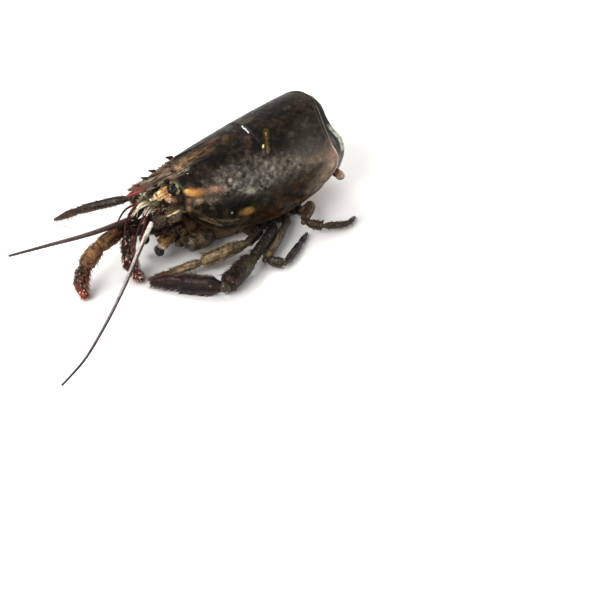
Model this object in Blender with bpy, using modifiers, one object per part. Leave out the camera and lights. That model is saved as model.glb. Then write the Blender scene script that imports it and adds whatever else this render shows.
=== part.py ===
"""Head section of a raw lobster that has been cut up for cooking.

It is one piece: the carapace with its rostrum, the flesh under it, the first
ring behind it, the eyes, the feelers, the mouth limbs and the walking legs. It
is cut square across behind the ring and, in front, through two stout limbs.

All sizes below are millimetres and become metres when a mesh is made. The
rostrum points to -Y, the animal's left side is +X and +Z is up. The origin
lies on the table, under the middle of the carapace.
"""

import math

import bmesh
import bpy
import numpy as np
from mathutils import Matrix, Vector

MM = 0.001
COLLECTION = "lobster_head"

# Driving dimensions
ROSTRUM_TIP = -69.0
SHELL = 1.3  # thickness of the carapace
RING_SHELL = 1.1  # thickness of the ring behind it
GAP = 0.35  # clearance between pieces that touch
LOWER_ANGLE = math.radians(128)  # how far the carapace wraps round, from the midline

# Carapace by length: y, half width, top, height of the widest point, lower edge
CARAPACE = (
    (-46, 10.5, 49.0, 39.5, 27.0),
    (-42, 12.6, 50.4, 38.5, 24.0),
    (-33, 16.4, 52.4, 36.0, 18.0),
    (-22, 19.8, 53.8, 33.5, 11.2),
    (-11, 22.2, 55.0, 32.5, 9.2),
    (1, 24.2, 56.0, 32.5, 8.0),
    (13, 25.6, 57.3, 33.0, 7.8),
    (25, 26.4, 59.0, 33.5, 9.6),
    (38, 26.8, 60.9, 34.0, 13.0),
    (52, 26.6, 61.9, 34.0, 17.0),
)
PEAK = 0.14  # how much sharper than an oval the back's arch is near its rear edge
# Its edges and its groove by share of the way down: share, then y of front, groove and rear
EDGES = (
    (0.00, -42.0, 6.4, 49.0),
    (0.11, -40.0, 6.0, 48.6),
    (0.20, -43.2, 6.4, 47.4),
    (0.32, -44.4, 5.2, 45.8),
    (0.50, -43.0, -1.5, 46.0),
    (0.70, -42.0, -11.0, 49.6),
    (0.86, -41.2, -15.5, 47.2),
    (0.94, -37.5, -16.0, 43.6),
    (1.00, -29.5, -16.0, 38.0),
)
GROOVE_DEPTH, GROOVE_HALF_WIDTH = 0.9, 1.9
RIM_HEIGHT, RIM_WIDTH = 0.55, 3.4
CARAPACE_COLUMNS = 16

# Rostrum by length: y, half width, height of its side ridges
ROSTRUM = (
    (-28, 7.2, 50.6),
    (-35, 7.4, 51.5),
    (-42, 6.8, 50.3),
    (-50, 5.4, 48.8),
    (-58, 3.6, 47.2),
    (-65, 1.6, 45.9),
    (ROSTRUM_TIP, 0.35, 45.6),
)
# Spines on one side of the shell: base, direction, length, radius
SPINES = (
    ((5.4, -48.0, 48.9), (0.40, -1.0, 0.30), 3.8, 1.1),
    ((4.1, -54.0, 47.7), (0.38, -1.0, 0.30), 3.5, 1.0),
    ((2.8, -60.0, 46.6), (0.32, -1.0, 0.30), 3.2, 0.9),
    ((8.4, -35.0, 50.3), (0.20, -1.0, 0.35), 4.0, 1.3),
    ((11.2, -40.6, 30.5), (0.25, -1.0, 0.15), 5.0, 1.5),
)

MEAT_FRONT, MEAT_REAR, MEAT_FLOOR = -26.0, 51.6, 14.4
RING_FRONT = 39.0
# Degrees round the ring from the midline, y of its rear edge
RING_EDGE = ((0, 52.8), (20, 52.4), (40, 51.0), (52, 51.8), (70, 55.6), (92, 56.0), (110, 54.4), (122, 53.8))

# Root of each eye's stalk and middle of the eye
EYES = {
    "left": ((6.6, -46.2, 42.6), (10.3, -48.4, 46.2)),
    "right": ((-6.4, -46.4, 39.6), (-10.4, -49.6, 40.4)),
}
EYE_RADIUS = 2.7

LEFT, RIGHT = 1, -1
SIDES = {"left": LEFT, "right": RIGHT}

# How thick a limb's piece is along its length: share of the length, share of its size
MERUS = ((0, 0.55), (0.05, 0.72), (0.2, 0.8), (0.3, 0.72), (0.5, 0.95), (0.8, 1.0), (0.95, 0.9), (1, 0.62))
CARPUS = ((0, 0.55), (0.15, 0.8), (0.5, 1.0), (0.85, 1.0), (1, 0.68))
PALM = ((0, 0.6), (0.1, 0.85), (0.3, 1.0), (0.52, 0.95), (0.6, 0.62), (0.85, 0.38), (1, 0.1))
FINGER = ((0, 0.9), (0.2, 1.0), (0.6, 0.8), (0.9, 0.4), (1, 0.16))
PROPODUS = ((0, 0.62), (0.08, 0.9), (0.3, 1), (0.56, 0.86), (0.62, 0.7), (0.68, 0.78), (0.86, 0.6), (1, 0.2))
ROUND_ENDS = ((0, 0.5), (0.1, 0.86), (0.4, 1.0), (0.75, 0.95), (0.95, 0.75), (1, 0.45))
TAPER = ((0, 1.0), (0.25, 0.82), (0.5, 0.66), (0.75, 0.52), (1, 0.4))
WHIP = tuple((k / 9, 1 - 0.6 * k / 9) for k in range(10))
POINTED = ((0, 0.7), (0.15, 1.0), (0.5, 0.85), (0.85, 0.45), (1, 0.12))
BLUNT = ((0, 0.8), (0.15, 1.0), (0.35, 1.0), (0.6, 0.85), (0.85, 0.58), (1, 0.25))

# Walking legs: joints from the body to the tip, then the width of merus, carpus
# and hand. A leg with five joints ends in a pincer, one with six in a plain claw.
LEGS = {
    "leg_2_left": (
        (
            (18.0, -3.0, 4.4), (26.0, -5.0, 8.6), (33.5, -18.5, 11.8),
            (26.8, -43.2, 7.4), (20.4, -62.8, 4.4), (15.8, -70.4, 2.0),
        ),
        (5.4, 7.6, 4.6),
    ),
    "leg_3_left": (
        (
            (18.2, 7.0, 4.4), (29.5, 1.0, 9.6), (43.0, -22.2, 9.2),
            (51.0, -46.8, 7.0), (20.0, -72.4, 3.4),
        ),
        (6.6, 10.4, 10.4),
    ),
    "leg_4_left": (
        (
            (18.2, 17.5, 4.2), (26.0, 12.5, 5.4), (43.0, -14.6, 4.4),
            (51.6, -8.0, 3.8), (42.5, 9.0, 3.0), (35.0, 21.0, 1.6),
        ),
        (6.2, 5.4, 4.4),
    ),
    "leg_5_left": (
        (
            (17.0, 28.5, 4.2), (22.5, 32.5, 7.6), (33.5, 19.5, 8.2),
            (41.0, 27.0, 6.4), (44.5, 41.0, 3.8), (40.0, 51.0, 1.6),
        ),
        (5.8, 5.0, 3.8),
    ),
    "leg_2_right": (
        (
            (-18.0, -3.0, 4.4), (-25.5, -6.0, 7.0), (-22.5, -35.0, 14.0),
            (-28.6, -50.0, 21.4), (-45.5, -69.5, 13.6), (-62.4, -79.2, 1.6),
        ),
        (6.0, 5.8, 5.0),
    ),
    "leg_3_right": (
        (
            (-18.2, 7.0, 4.4), (-30.0, 5.0, 7.0), (-37.0, -16.0, 8.5),
            (-36.5, -27.5, 7.0), (-22.0, -53.0, 2.6),
        ),
        (6.0, 5.6, 5.0),
    ),
    "leg_4_right": (
        (
            (-18.2, 17.5, 4.4), (-31.0, 18.0, 6.0), (-46.0, -4.0, 7.0),
            (-48.5, -16.5, 6.0), (-44.0, -34.5, 4.0), (-37.0, -45.0, 1.6),
        ),
        (5.8, 5.2, 4.0),
    ),
    "leg_5_right": (
        (
            (-17.0, 28.5, 4.4), (-27.5, 31.0, 6.0), (-34.0, 48.0, 9.0),
            (-31.0, 59.0, 7.0), (-23.0, 70.0, 4.0), (-11.5, 73.0, 1.6),
        ),
        (5.6, 4.8, 3.8),
    ),
}
# The long mouth limbs, bent down in front of the head: joints, with a bend in the last part; widths
MAXILLIPEDS = {
    "maxilliped_left": (
        (
            (4.0, -42.4, 19.0), (1.6, -69.8, 25.0), (4.8, -75.2, 15.0),
            (9.2, -75.4, 7.4), (12.0, -74.8, 4.6), (14.7, -73.4, 2.4),
        ),
        (6.8, 8.4, 8.2, 6.0),
    ),
    "maxilliped_right": (
        (
            (-4.0, -42.4, 19.0), (-6.8, -70.5, 20.6), (-4.2, -86.0, 19.4),
            (-2.0, -96.8, 12.8), (2.2, -102.4, 7.2), (8.6, -104.0, 2.2),
        ),
        (7.4, 8.8, 9.8, 8.6),
    ),
}
# Feelers: joints of the stalk, the whip from its root to its tip, then the whip's width
FEELERS = {
    "left": (
        ((12.6, -46.0, 32.0), (12.2, -54.0, 32.2), (10.6, -60.6, 31.4)),
        (
            (10.1, -62.1, 31.0), (23.5, -80.5, 26.4), (35.9, -98.3, 20.2),
            (47.2, -118.1, 12.5), (53.7, -133.1, 6.3), (57.5, -148.4, 1.5),
        ),
        2.7,
    ),
    "right": (
        ((-10.5, -46.0, 31.0), (-8.4, -55.0, 29.4), (-5.8, -63.6, 26.8)),
        ((-5.5, -64.8, 26.4), (-10.7, -86.7, 24.0), (-19.3, -105.8, 21.0), (-28.0, -124.9, 18.0)),
        3.2,
    ),
}
# The two branches of each small feeler, from the end of its stalk
ANTENNULES = {
    "left": (
        ((4.0, -60.0, 35.0), (8.0, -67.5, 31.5), (10.2, -72.0, 26.0), (10.9, -73.6, 20.0)),
        ((4.4, -59.0, 35.0), (10.6, -66.5, 32.4), (12.6, -70.6, 26.5), (13.2, -72.2, 21.5)),
    ),
    "right": (
        ((-4.0, -60.0, 35.0), (-1.0, -68.0, 33.0), (4.5, -75.0, 28.0), (7.6, -78.0, 21.0)),
        ((-4.4, -59.0, 35.0), (-5.5, -67.0, 33.5), (-3.5, -73.5, 29.5), (-0.5, -77.0, 24.5)),
    ),
}


def along(table, at):
    """The table's values at a place, on a smooth curve through its rows; their first number is the place."""
    rows = np.array(sorted(table, key=lambda row: row[0]), float)
    knots, values = rows[:, 0], rows[:, 1:]
    at = min(max(at, knots[0]), knots[-1])
    i = min(int(np.searchsorted(knots, at, side="right")) - 1, len(knots) - 2)
    slopes = np.gradient(values, knots, axis=0)
    step = knots[i + 1] - knots[i]
    s = (at - knots[i]) / step
    return (
        (2 * s**3 - 3 * s**2 + 1) * values[i]
        + (s**3 - 2 * s**2 + s) * step * slopes[i]
        + (3 * s**2 - 2 * s**3) * values[i + 1]
        + (s**3 - s**2) * step * slopes[i + 1]
    )


def material(name, colour, roughness=0.35):
    """The named finish, made once."""
    made = bpy.data.materials.get(name)
    if made is None:
        made = bpy.data.materials.new(name)
        made.use_nodes = True
        shader = made.node_tree.nodes["Principled BSDF"]
        shader.inputs["Base Color"].default_value = (*colour, 1)
        shader.inputs["Roughness"].default_value = roughness
        shader.inputs["Metallic"].default_value = 0
    return made


def put(name, bm, finish, collection):
    """A named object from a bmesh in millimetres."""
    bmesh.ops.scale(bm, vec=(MM, MM, MM), verts=bm.verts)
    mesh = bpy.data.meshes.new(name)
    bm.to_mesh(mesh)
    bm.free()
    mesh.materials.append(finish)
    mesh.shade_smooth()
    mesh.set_sharp_from_angle(angle=math.radians(50))
    made = bpy.data.objects.new(name, mesh)
    collection.objects.link(made)
    return made


def loft(rings):
    """A closed bmesh through rings that have the same number of points."""
    bm = bmesh.new()
    loops = [[bm.verts.new(point) for point in ring] for ring in rings]
    for first, second in zip(loops, loops[1:]):
        for i, corner in enumerate(first):
            j = (i + 1) % len(first)
            bm.faces.new((corner, first[j], second[j], second[i]))
    bm.faces.new(loops[0])
    bm.faces.new(loops[-1])
    bmesh.ops.recalc_face_normals(bm, faces=bm.faces)
    return bm


def grid(points):
    """An open bmesh through rows of points."""
    bm = bmesh.new()
    rows = [[bm.verts.new(point) for point in row] for row in points]
    for first, second in zip(rows, rows[1:]):
        for i in range(len(first) - 1):
            bm.faces.new((first[i], first[i + 1], second[i + 1], second[i]))
    return bm


def oval(middle, tangent, up, half_width, half_height, sides):
    """Points of an oval across a tangent."""
    tangent = Vector(tangent).normalized()
    across = tangent.cross(Vector(up)).normalized()
    upward = across.cross(tangent)
    points = []
    for k in range(sides):
        turn = 2 * math.pi * k / sides
        sideways = across * half_width * math.cos(turn)
        points.append(Vector(middle) + sideways + upward * half_height * math.sin(turn))
    return points


def tube(path, profile, width, height, up=(0, 0, 1), sides=10, trims=(0, 0)):
    """A closed oval tube along a smooth curve through the path, as thick as the profile says."""
    points = np.array(path, float)
    reach = np.concatenate([[0], np.cumsum(np.linalg.norm(np.diff(points, axis=0), axis=1))])
    table = np.column_stack([reach, points])
    length = reach[-1]
    rings = []
    for share, size in profile:
        at = trims[0] + share * (length - trims[0] - trims[1])
        ahead, behind = along(table, min(at + 0.5, length)), along(table, max(at - 0.5, 0))
        rings.append(oval(along(table, at), ahead - behind, up, width * size / 2, height * size / 2, sides))
    return loft(rings)


def cone(base, direction, length, radius, sides=6):
    """A spine that stands half its length in what carries it."""
    bm = bmesh.new()
    direction = Vector(direction).normalized()
    turn = direction.to_track_quat("Z", "Y").to_matrix().to_4x4()
    place = Matrix.Translation(Vector(base) + direction * length * 0.3) @ turn
    bmesh.ops.create_cone(
        bm, cap_ends=True, segments=sides, radius1=radius, radius2=0.12, depth=length * 1.4, matrix=place
    )
    return bm


def ball(middle, radii, segments=12, rings=8):
    bm = bmesh.new()
    place = Matrix.Translation(middle) @ Matrix.Diagonal((*radii, 1))
    bmesh.ops.create_uvsphere(bm, u_segments=segments, v_segments=rings, radius=1, matrix=place)
    return bm


def mirrored(bm):
    bmesh.ops.scale(bm, vec=(-1, 1, 1), verts=bm.verts)
    bmesh.ops.reverse_faces(bm, faces=bm.faces)
    return bm


def use_modifiers(made):
    """The object's mesh as its modifiers leave it, with the modifiers then taken off."""
    graph = bpy.context.evaluated_depsgraph_get()
    mesh = bpy.data.meshes.new_from_object(made.evaluated_get(graph))
    made.modifiers.clear()
    made.data = mesh


def fuse(made, shapes):
    """Joins bmesh shapes to an object with one Boolean union."""
    helpers = bpy.data.collections.new("helpers")
    bpy.context.scene.collection.children.link(helpers)
    for k, bm in enumerate(shapes):
        put(f"helper_{k}", bm, made.data.materials[0], helpers)
    join = made.modifiers.new("join", "BOOLEAN")
    join.operation = "UNION"
    join.solver = "EXACT"
    join.operand_type = "COLLECTION"
    join.collection = helpers
    use_modifiers(made)
    for helper in list(helpers.objects):
        bpy.data.objects.remove(helper)
    bpy.data.collections.remove(helpers)
    made.data.shade_smooth()
    made.data.set_sharp_from_angle(angle=math.radians(50))


def fade(value, low, high):
    """0 up to low, 1 from high, smooth between."""
    s = min(max((value - low) / (high - low), 0), 1)
    return s * s * (3 - 2 * s)


def shell_section(y, angle, inset=0.0):
    """(x, z) on the carapace's section at y, inset from its surface; the angle is 0 at the midline."""
    half_width, top, widest, low = along(CARAPACE, y) - np.array([inset, inset, 0, 0])
    x = half_width * math.sin(angle)
    if angle <= math.pi / 2:
        return x, widest + (top - widest) * max(math.cos(angle), 0) ** (1 + PEAK * fade(y, 14, 44))
    return x, widest + (widest - low) * math.cos(angle) / -math.cos(LOWER_ANGLE)


def carapace_point(share, shift, down):
    """A point of the outer surface: share 0 is the front edge, 0.5 the groove and 1 the rear edge.

    The shift moves it along Y, and down is the share of the way from the midline to the lower edge.
    """
    front, groove, rear = along(EDGES, down)
    shift *= min((groove - front) / 45, 1)
    if share < 0.5:
        y = front + (groove - front) * share * 2 + shift
    else:
        y = groove + (rear - groove) * (share - 0.5) * 2 + shift
    angle = down * LOWER_ANGLE
    x, z = shell_section(y, angle)
    dip = GROOVE_DEPTH * max(0, 1 - abs(y - groove) / GROOVE_HALF_WIDTH) * fade(1 - down, 0.1, 0.4)
    from_rear = (rear - y) / RIM_WIDTH
    dip += RIM_HEIGHT * math.exp(-(((from_rear - 1) / 0.35) ** 2)) * fade(1 - down, 0.02, 0.3)
    return Vector((x - dip * math.sin(angle), y, z - dip * math.cos(angle)))


def carapace_rows():
    front = [(k / 18, 0) for k in range(9)]
    groove = [(0.5, shift) for shift in (-GROOVE_HALF_WIDTH, 0, GROOVE_HALF_WIDTH)]
    back = [(0.5 + k / 16, 0) for k in range(1, 7)]
    rim = [(1, -RIM_WIDTH * shift) for shift in (1.6, 1, 0.5, 0)]
    return front + groove + back + rim


def rostrum_ring(y):
    """A shallow trough between two side ridges, over a keel."""
    half_width, ridge = along(ROSTRUM, y)
    trough, edge, keel = 0.22 * half_width, 0.25 * half_width, 0.35 + 0.42 * half_width
    top = ((0, -trough), (0.6, -0.3 * trough), (0.85, 0), (1, -edge))
    outline = top + ((0.55, -0.8 * keel - edge), (0, -keel - edge))
    half = [(half_width * x, ridge + z) for x, z in outline]
    whole = half + [(-x, z) for x, z in half[-2:0:-1]]
    return [Vector((x, y, z)) for x, z in whole]


def build_carapace(collection):
    """The shell of the head and chest with its rostrum and spines."""
    finish = material("shell_black_brown", (0.045, 0.035, 0.028), 0.3)
    downs = [k / CARAPACE_COLUMNS for k in range(CARAPACE_COLUMNS + 1)]
    points = [[carapace_point(share, shift, down) for down in downs] for share, shift in carapace_rows()]
    bm = grid(points)
    made = put("carapace", bm, finish, collection)
    mirror = made.modifiers.new("other_side", "MIRROR")
    mirror.merge_threshold = 0.0001
    wall = made.modifiers.new("wall", "SOLIDIFY")
    wall.thickness = SHELL * MM
    wall.offset = -1
    use_modifiers(made)
    shapes = [loft([rostrum_ring(row[0]) for row in ROSTRUM])]
    for spine in SPINES:
        shapes += [cone(*spine), mirrored(cone(*spine))]
    fuse(made, shapes)


def build_tail_ring(collection):
    """The arched plate of the first ring, which slides in under the carapace."""
    finish = material("ring_olive_black", (0.05, 0.045, 0.035), 0.25)
    rows = []
    for share in (0, 0.35, 0.65, 0.85, 1):
        reach = math.radians(100 + 22 * fade(share, 0.4, 0.8))
        row = []
        for k in range(15):
            angle = reach * k / 14
            rear = along(RING_EDGE, math.degrees(angle))[0]
            x, z = shell_section(50, angle, SHELL + RIM_HEIGHT + GAP + 0.2 + 0.7 * fade(share, 0.8, 1))
            row.append(Vector((x, RING_FRONT + (rear - RING_FRONT) * share, z)))
        rows.append(row)
    made = put("tail_ring", grid(rows), finish, collection)
    mirror = made.modifiers.new("other_side", "MIRROR")
    mirror.merge_threshold = 0.0001
    wall = made.modifiers.new("wall", "SOLIDIFY")
    wall.thickness = RING_SHELL * MM
    wall.offset = -1
    use_modifiers(made)
    knob = ((20.8, 51.6, 20.8), (20.8, 55.8, 17.6), (20.0, 57.2, 14.6))
    fuse(made, [tube(knob, ROUND_ENDS, 5.8, 5.0), mirrored(tube(knob, ROUND_ENDS, 5.8, 5.0))])


def meat_ring(y):
    """The flesh fills the carapace, and the tail ring behind it, down to a flat floor."""
    inset = SHELL + GROOVE_DEPTH + GAP + (RING_SHELL + GAP) * fade(y, 32, 38) + 1.2 * fade(y, 44, 50)
    points = []
    steps = 22
    for k in range(steps):
        angle = math.pi * (2 * k / (steps - 1) - 1)
        x, z = shell_section(min(y, 50), min(abs(angle), LOWER_ANGLE), inset)
        if abs(angle) > LOWER_ANGLE:
            x *= (math.pi - abs(angle)) / (math.pi - LOWER_ANGLE)
        points.append(Vector((math.copysign(x, angle), y, max(z, MEAT_FLOOR))))
    return points


def build_meat(collection):
    finish = material("raw_flesh", (0.72, 0.55, 0.45), 0.3)
    stations = (MEAT_FRONT, -12, 0, 14, 26, 32, 35, 38, 44, 50, MEAT_REAR)
    put("meat", loft([meat_ring(y) for y in stations]), finish, collection)


def build_sternum(collection):
    """The belly plate with the roots of the legs, flat where it stands on the table."""
    finish = material("belly_brown", (0.16, 0.11, 0.07), 0.4)
    outline = ((8, 0), (12, 2.5), (15, 7), (17, 13.5), (0, 13.8))
    rings = []
    for y, size in ((-27.4, 0.5), (-18, 0.8), (-8, 1), (10, 1), (30, 0.96), (38, 0.8)):
        half = [(x * size, z) for x, z in outline]
        whole = half + [(-x, z) for x, z in half[-2::-1]]
        rings.append([Vector((x, y, z)) for x, z in whole])
    made = put("sternum", loft(rings), finish, collection)
    roots = []
    for joints, _ in LEGS.values():
        root = Vector(joints[0])
        outward = Vector((math.copysign(1, root.x), 0, 0))
        roots.append(tube((root - outward * 8, root - outward * GAP), ROUND_ENDS[:4] + ((1, 0.8),), 7.8, 7.4))
    fuse(made, roots)


def build_face(collection):
    """The block between the eyes and the mouth that carries the feelers."""
    finish = material("face_brown_cream", (0.2, 0.13, 0.07), 0.35)
    rows = (
        (MEAT_FRONT - GAP, 10.4, 10.6, 32.6),
        (-40, 8.2, 9.6, 32.8),
        (-45, 6.8, 7.6, 33.2),
        (-48.5, 4.8, 5.0, 34.0),
    )
    rings = []
    for y, half_width, half_height, middle in rows:
        rings.append(oval((0, y, middle), (0, -1, 0), (0, 0, 1), half_width, half_height, 16))
    put("face", loft(rings), finish, collection)
    jaw = material("mouth_brown", (0.12, 0.08, 0.05), 0.4)
    made = put("mouthparts", ball((0, -34.0, 14.2), (8.6, 6.0, 5.4)), jaw, collection)
    lumps = []
    for side in SIDES.values():
        lumps.append(ball((side * 4.4, -36.6, 12.0), (3.8, 4.2, 4.6)))
        palp = ((4.6, -37.0, 13.5), (6.4, -46.0, 13.6), (7.6, -54.0, 13.0), (6.8, -57.4, 8.6))
        lumps.append(tube([(side * x, y, z) for x, y, z in palp], ROUND_ENDS, 4.4, 5.0))
        lumps.append(ball((side * 6.9, -56.6, 9.4), (3.2, 2.6, 3.0)))
    fuse(made, lumps)


def build_eyes(collection):
    stalk_finish = material("stalk_orange_cream", (0.6, 0.33, 0.13), 0.35)
    eye_finish = material("eye_black", (0.01, 0.01, 0.015), 0.1)
    for name, side in SIDES.items():
        root, middle = EYES[name]
        to_root = (Vector(root) - Vector(middle)).normalized()
        stalk = tube((root, Vector(middle) + to_root * (EYE_RADIUS + GAP)), ROUND_ENDS, 4.2, 4.2)
        put(f"eye_stalk_{name}", stalk, stalk_finish, collection)
        put(f"eye_{name}", ball(middle, (EYE_RADIUS,) * 3, 14, 9), eye_finish, collection)


def build_feelers(collection):
    stalk_finish = material("feeler_stalk_olive", (0.16, 0.13, 0.08), 0.35)
    whip_finish = material("whip_purple_brown", (0.09, 0.055, 0.05), 0.4)
    red = material("antennule_red", (0.3, 0.06, 0.035), 0.35)
    for name, side in SIDES.items():
        stalk, whip, whip_width = FEELERS[name]
        made = put(f"antenna_base_{name}", tube(stalk[:2], ROUND_ENDS, 7.0, 6.4), stalk_finish, collection)
        fuse(made, [tube(stalk[1:], ROUND_ENDS, 5.2, 5.0)])
        lash = tube(whip, WHIP, whip_width, whip_width, sides=8)
        put(f"antenna_whip_{name}", lash, whip_finish, collection)
        scale = ((side * 13.4, -44.6, 37.2), (side * 15.4, -51.0, 36.8), (side * 15.8, -58.5, 36.0))
        put(f"antenna_scale_{name}", tube(scale, POINTED, 5.4, 1.5), stalk_finish, collection)
        stem = tube(((side * 3.4, -49.6, 36.4), (side * 4.0, -60.5, 35.0)), ROUND_ENDS, 3.2, 3.2, sides=8)
        made = put(f"antennule_{name}", stem, red, collection)
        fuse(made, [tube(route, TAPER, 1.5, 1.5, sides=6) for route in ANTENNULES[name]])


def trims_at(joints, index, size):
    """How far a limb's piece stays back from its first and last joint, so that neighbours don't meet."""
    trims = []
    for joint in (index, index + 1):
        if 0 < joint < len(joints) - 1:
            before = Vector(joints[joint]) - Vector(joints[joint - 1])
            after = Vector(joints[joint + 1]) - Vector(joints[joint])
            trims.append(GAP / 2 + 0.36 * size * math.tan(before.angle(after) / 2))
        else:
            trims.append(0)
    return trims


def build_leg(name, joints, widths, collection):
    """Merus, carpus and hand; the hand of a leg with five joints is a pincer."""
    dark = material("leg_dark", (0.07, 0.05, 0.04), 0.4)
    olive = material("leg_olive", (0.17, 0.12, 0.06), 0.4)
    finish = olive if name in ("leg_2_left", "leg_2_right") else dark
    merus_width, carpus_width, hand_width = widths
    outward = Vector((math.copysign(1, joints[0][0]), 0, 0))
    upper = [Vector(joints[0]) + outward * reach for reach in (GAP, 3)] + [Vector(p) for p in joints[1:3]]
    trims = (0, trims_at(joints, 1, merus_width)[1])
    put(f"{name}_merus", tube(upper, MERUS, merus_width * 0.8, merus_width, trims=trims), finish, collection)
    trims = trims_at(joints, 2, carpus_width)
    bm = tube(joints[2:4], CARPUS, carpus_width * 0.85, carpus_width, trims=trims)
    put(f"{name}_carpus", bm, finish, collection)
    trims = (trims_at(joints, 3, hand_width)[0], 0)
    if len(joints) == 6:
        bm = tube(joints[3:], PROPODUS, hand_width * 0.85, hand_width, trims=trims)
        put(f"{name}_hand", bm, finish, collection)
        return
    palm_root, tip = Vector(joints[3]), Vector(joints[4])
    reach = tip - palm_root
    palm = tube((palm_root, palm_root + reach * 0.5, tip), PALM, hand_width * 0.7, hand_width, trims=trims)
    made = put(f"{name}_hand", palm, finish, collection)
    lift = Vector((0, 0, hand_width * 0.3))
    finger = (palm_root + reach * 0.44 + lift * 0.7, palm_root + reach * 0.75 + lift, tip + lift * 0.5)
    fuse(made, [tube(finger, FINGER, hand_width * 0.38, hand_width * 0.4)])


def build_maxilliped(name, joints, widths, collection):
    finish = material("mouth_limb_red_brown", (0.17, 0.07, 0.03), 0.4)
    profiles = {"merus": ROUND_ENDS, "carpus": CARPUS, "propodus": CARPUS, "dactyl": BLUNT}
    for index, (part, profile) in enumerate(profiles.items()):
        width = widths[index]
        trims = trims_at(joints, index, width)
        path = joints[index : index + 2]
        if part == "dactyl":
            path, trims = joints[index:], (trims[0], 0)
        bm = tube(path, profile, width * 0.8, width, trims=trims)
        put(f"{name}_{part}", bm, finish, collection)


def build_stubs(collection):
    """The two stout limbs in front of the walking legs, cut short, with the flesh showing."""
    shell = material("stub_grey_brown", (0.13, 0.1, 0.075), 0.4)
    flesh = material("raw_flesh", (0.72, 0.55, 0.45), 0.3)
    for name, side in SIDES.items():
        root, end = Vector((side * 12.6, -27.0, 9.0)), Vector((side * 14.4, -42.0, 11.6))
        axis = (end - root).normalized()
        arm = tube((root, end), ((0, 0.7), (0.2, 0.95), (0.8, 1), (1, 0.96)), 9.6, 9.2)
        put(f"claw_stub_{name}", arm, shell, collection)
        plug = tube((end + axis * GAP, end + axis * 2.4), ((0, 0.9), (0.6, 0.85), (1, 0.5)), 8.6, 8.2)
        put(f"claw_stub_meat_{name}", plug, flesh, collection)


def build():
    for old in list(bpy.data.objects):
        bpy.data.objects.remove(old)
    collection = bpy.data.collections.new(COLLECTION)
    bpy.context.scene.collection.children.link(collection)
    build_carapace(collection)
    build_tail_ring(collection)
    build_meat(collection)
    build_sternum(collection)
    build_face(collection)
    build_eyes(collection)
    build_feelers(collection)
    for name, (joints, widths) in MAXILLIPEDS.items():
        build_maxilliped(name, joints, widths, collection)
    for name, (joints, widths) in LEGS.items():
        build_leg(name, joints, widths, collection)
    build_stubs(collection)


build()
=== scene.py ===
import itertools
import math

import bpy
import numpy as np
from mathutils import Matrix, Vector


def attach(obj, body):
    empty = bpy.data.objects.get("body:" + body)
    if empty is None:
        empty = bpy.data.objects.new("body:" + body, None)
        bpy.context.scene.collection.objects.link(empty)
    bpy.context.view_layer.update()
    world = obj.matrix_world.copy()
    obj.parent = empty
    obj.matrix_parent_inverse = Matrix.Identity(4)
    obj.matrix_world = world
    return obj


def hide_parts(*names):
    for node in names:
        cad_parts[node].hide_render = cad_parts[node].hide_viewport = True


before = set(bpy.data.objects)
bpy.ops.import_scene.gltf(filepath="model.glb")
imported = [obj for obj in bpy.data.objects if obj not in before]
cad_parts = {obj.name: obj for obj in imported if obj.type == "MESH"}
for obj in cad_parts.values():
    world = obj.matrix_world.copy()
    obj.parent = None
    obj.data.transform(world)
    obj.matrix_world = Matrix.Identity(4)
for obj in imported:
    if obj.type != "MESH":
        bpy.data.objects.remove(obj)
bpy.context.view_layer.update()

# Every size below is in millimetres and every angle in degrees, unless its name says otherwise.
# The rostrum points to -Y, the animal's left is +X, and the table is at height 0.
mm = 0.001
sides = {"left": 1, "right": -1}
tableClearance = 0.12  # no bristle reaches lower than this


# Camera, floor and light

camera = {
    "azimuth": 50.59,  # turn round the object, from straight in front of the rostrum
    "elevation": 38.0,
    "distance": 780.1,
    "right": 34.4,  # the picture's middle, beside the origin
    "up": -43.8,
    "lens": 85.0,
}

studio = {
    "floor": "#f4f3f1",
    "floorWidth": 6000.0,
    "horizon": ("#fbfbfa", 1.15),  # colour and strength of the light from low down
    "overhead": ("#f4f6f8", 0.75),
    "lamps": {
        "overLeft": {"place": (-560, -170, 930), "width": 420, "power": 5.0, "colour": "#fffdf9"},
        "front": {"place": (180, -760, 600), "width": 650, "power": 8.0, "colour": "#fffdfa"},
        "behindRight": {"place": (900, 480, 300), "width": 700, "power": 1.6, "colour": "#fdfdff"},
    },
    "contrast": 0.8,
}


def linear(hexColour):
    # sRGB hex to the linear values that a shader takes
    channels = [int(hexColour[k : k + 2], 16) / 255 for k in (1, 3, 5)]
    return np.array([c / 12.92 if c <= 0.04045 else ((c + 0.055) / 1.055) ** 2.4 for c in channels])


def allLinear(hexColours):
    return [linear(colour) for colour in hexColours]


def feed(tree, node, inputs):
    # gives a shader node's sockets their values, or links
    for socket, value in inputs.items():
        if isinstance(value, bpy.types.NodeSocket):
            tree.links.new(value, node.inputs[socket])
        else:
            node.inputs[socket].default_value = value


def addNode(tree, kind, inputs=None, stops=None, **settings):
    # one shader node: its own settings, then values or links for its sockets, then a ramp's stops
    node = tree.nodes.new("ShaderNode" + kind)
    for key, value in settings.items():
        setattr(node, key, value)
    feed(tree, node, inputs or {})
    for index, (place, colour) in enumerate(stops or ()):
        ramp = node.color_ramp.elements
        stop = ramp[index] if index < len(ramp) else ramp.new(place)
        stop.position = place
        stop.color = (*linear(colour), 1)
    return node


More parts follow.
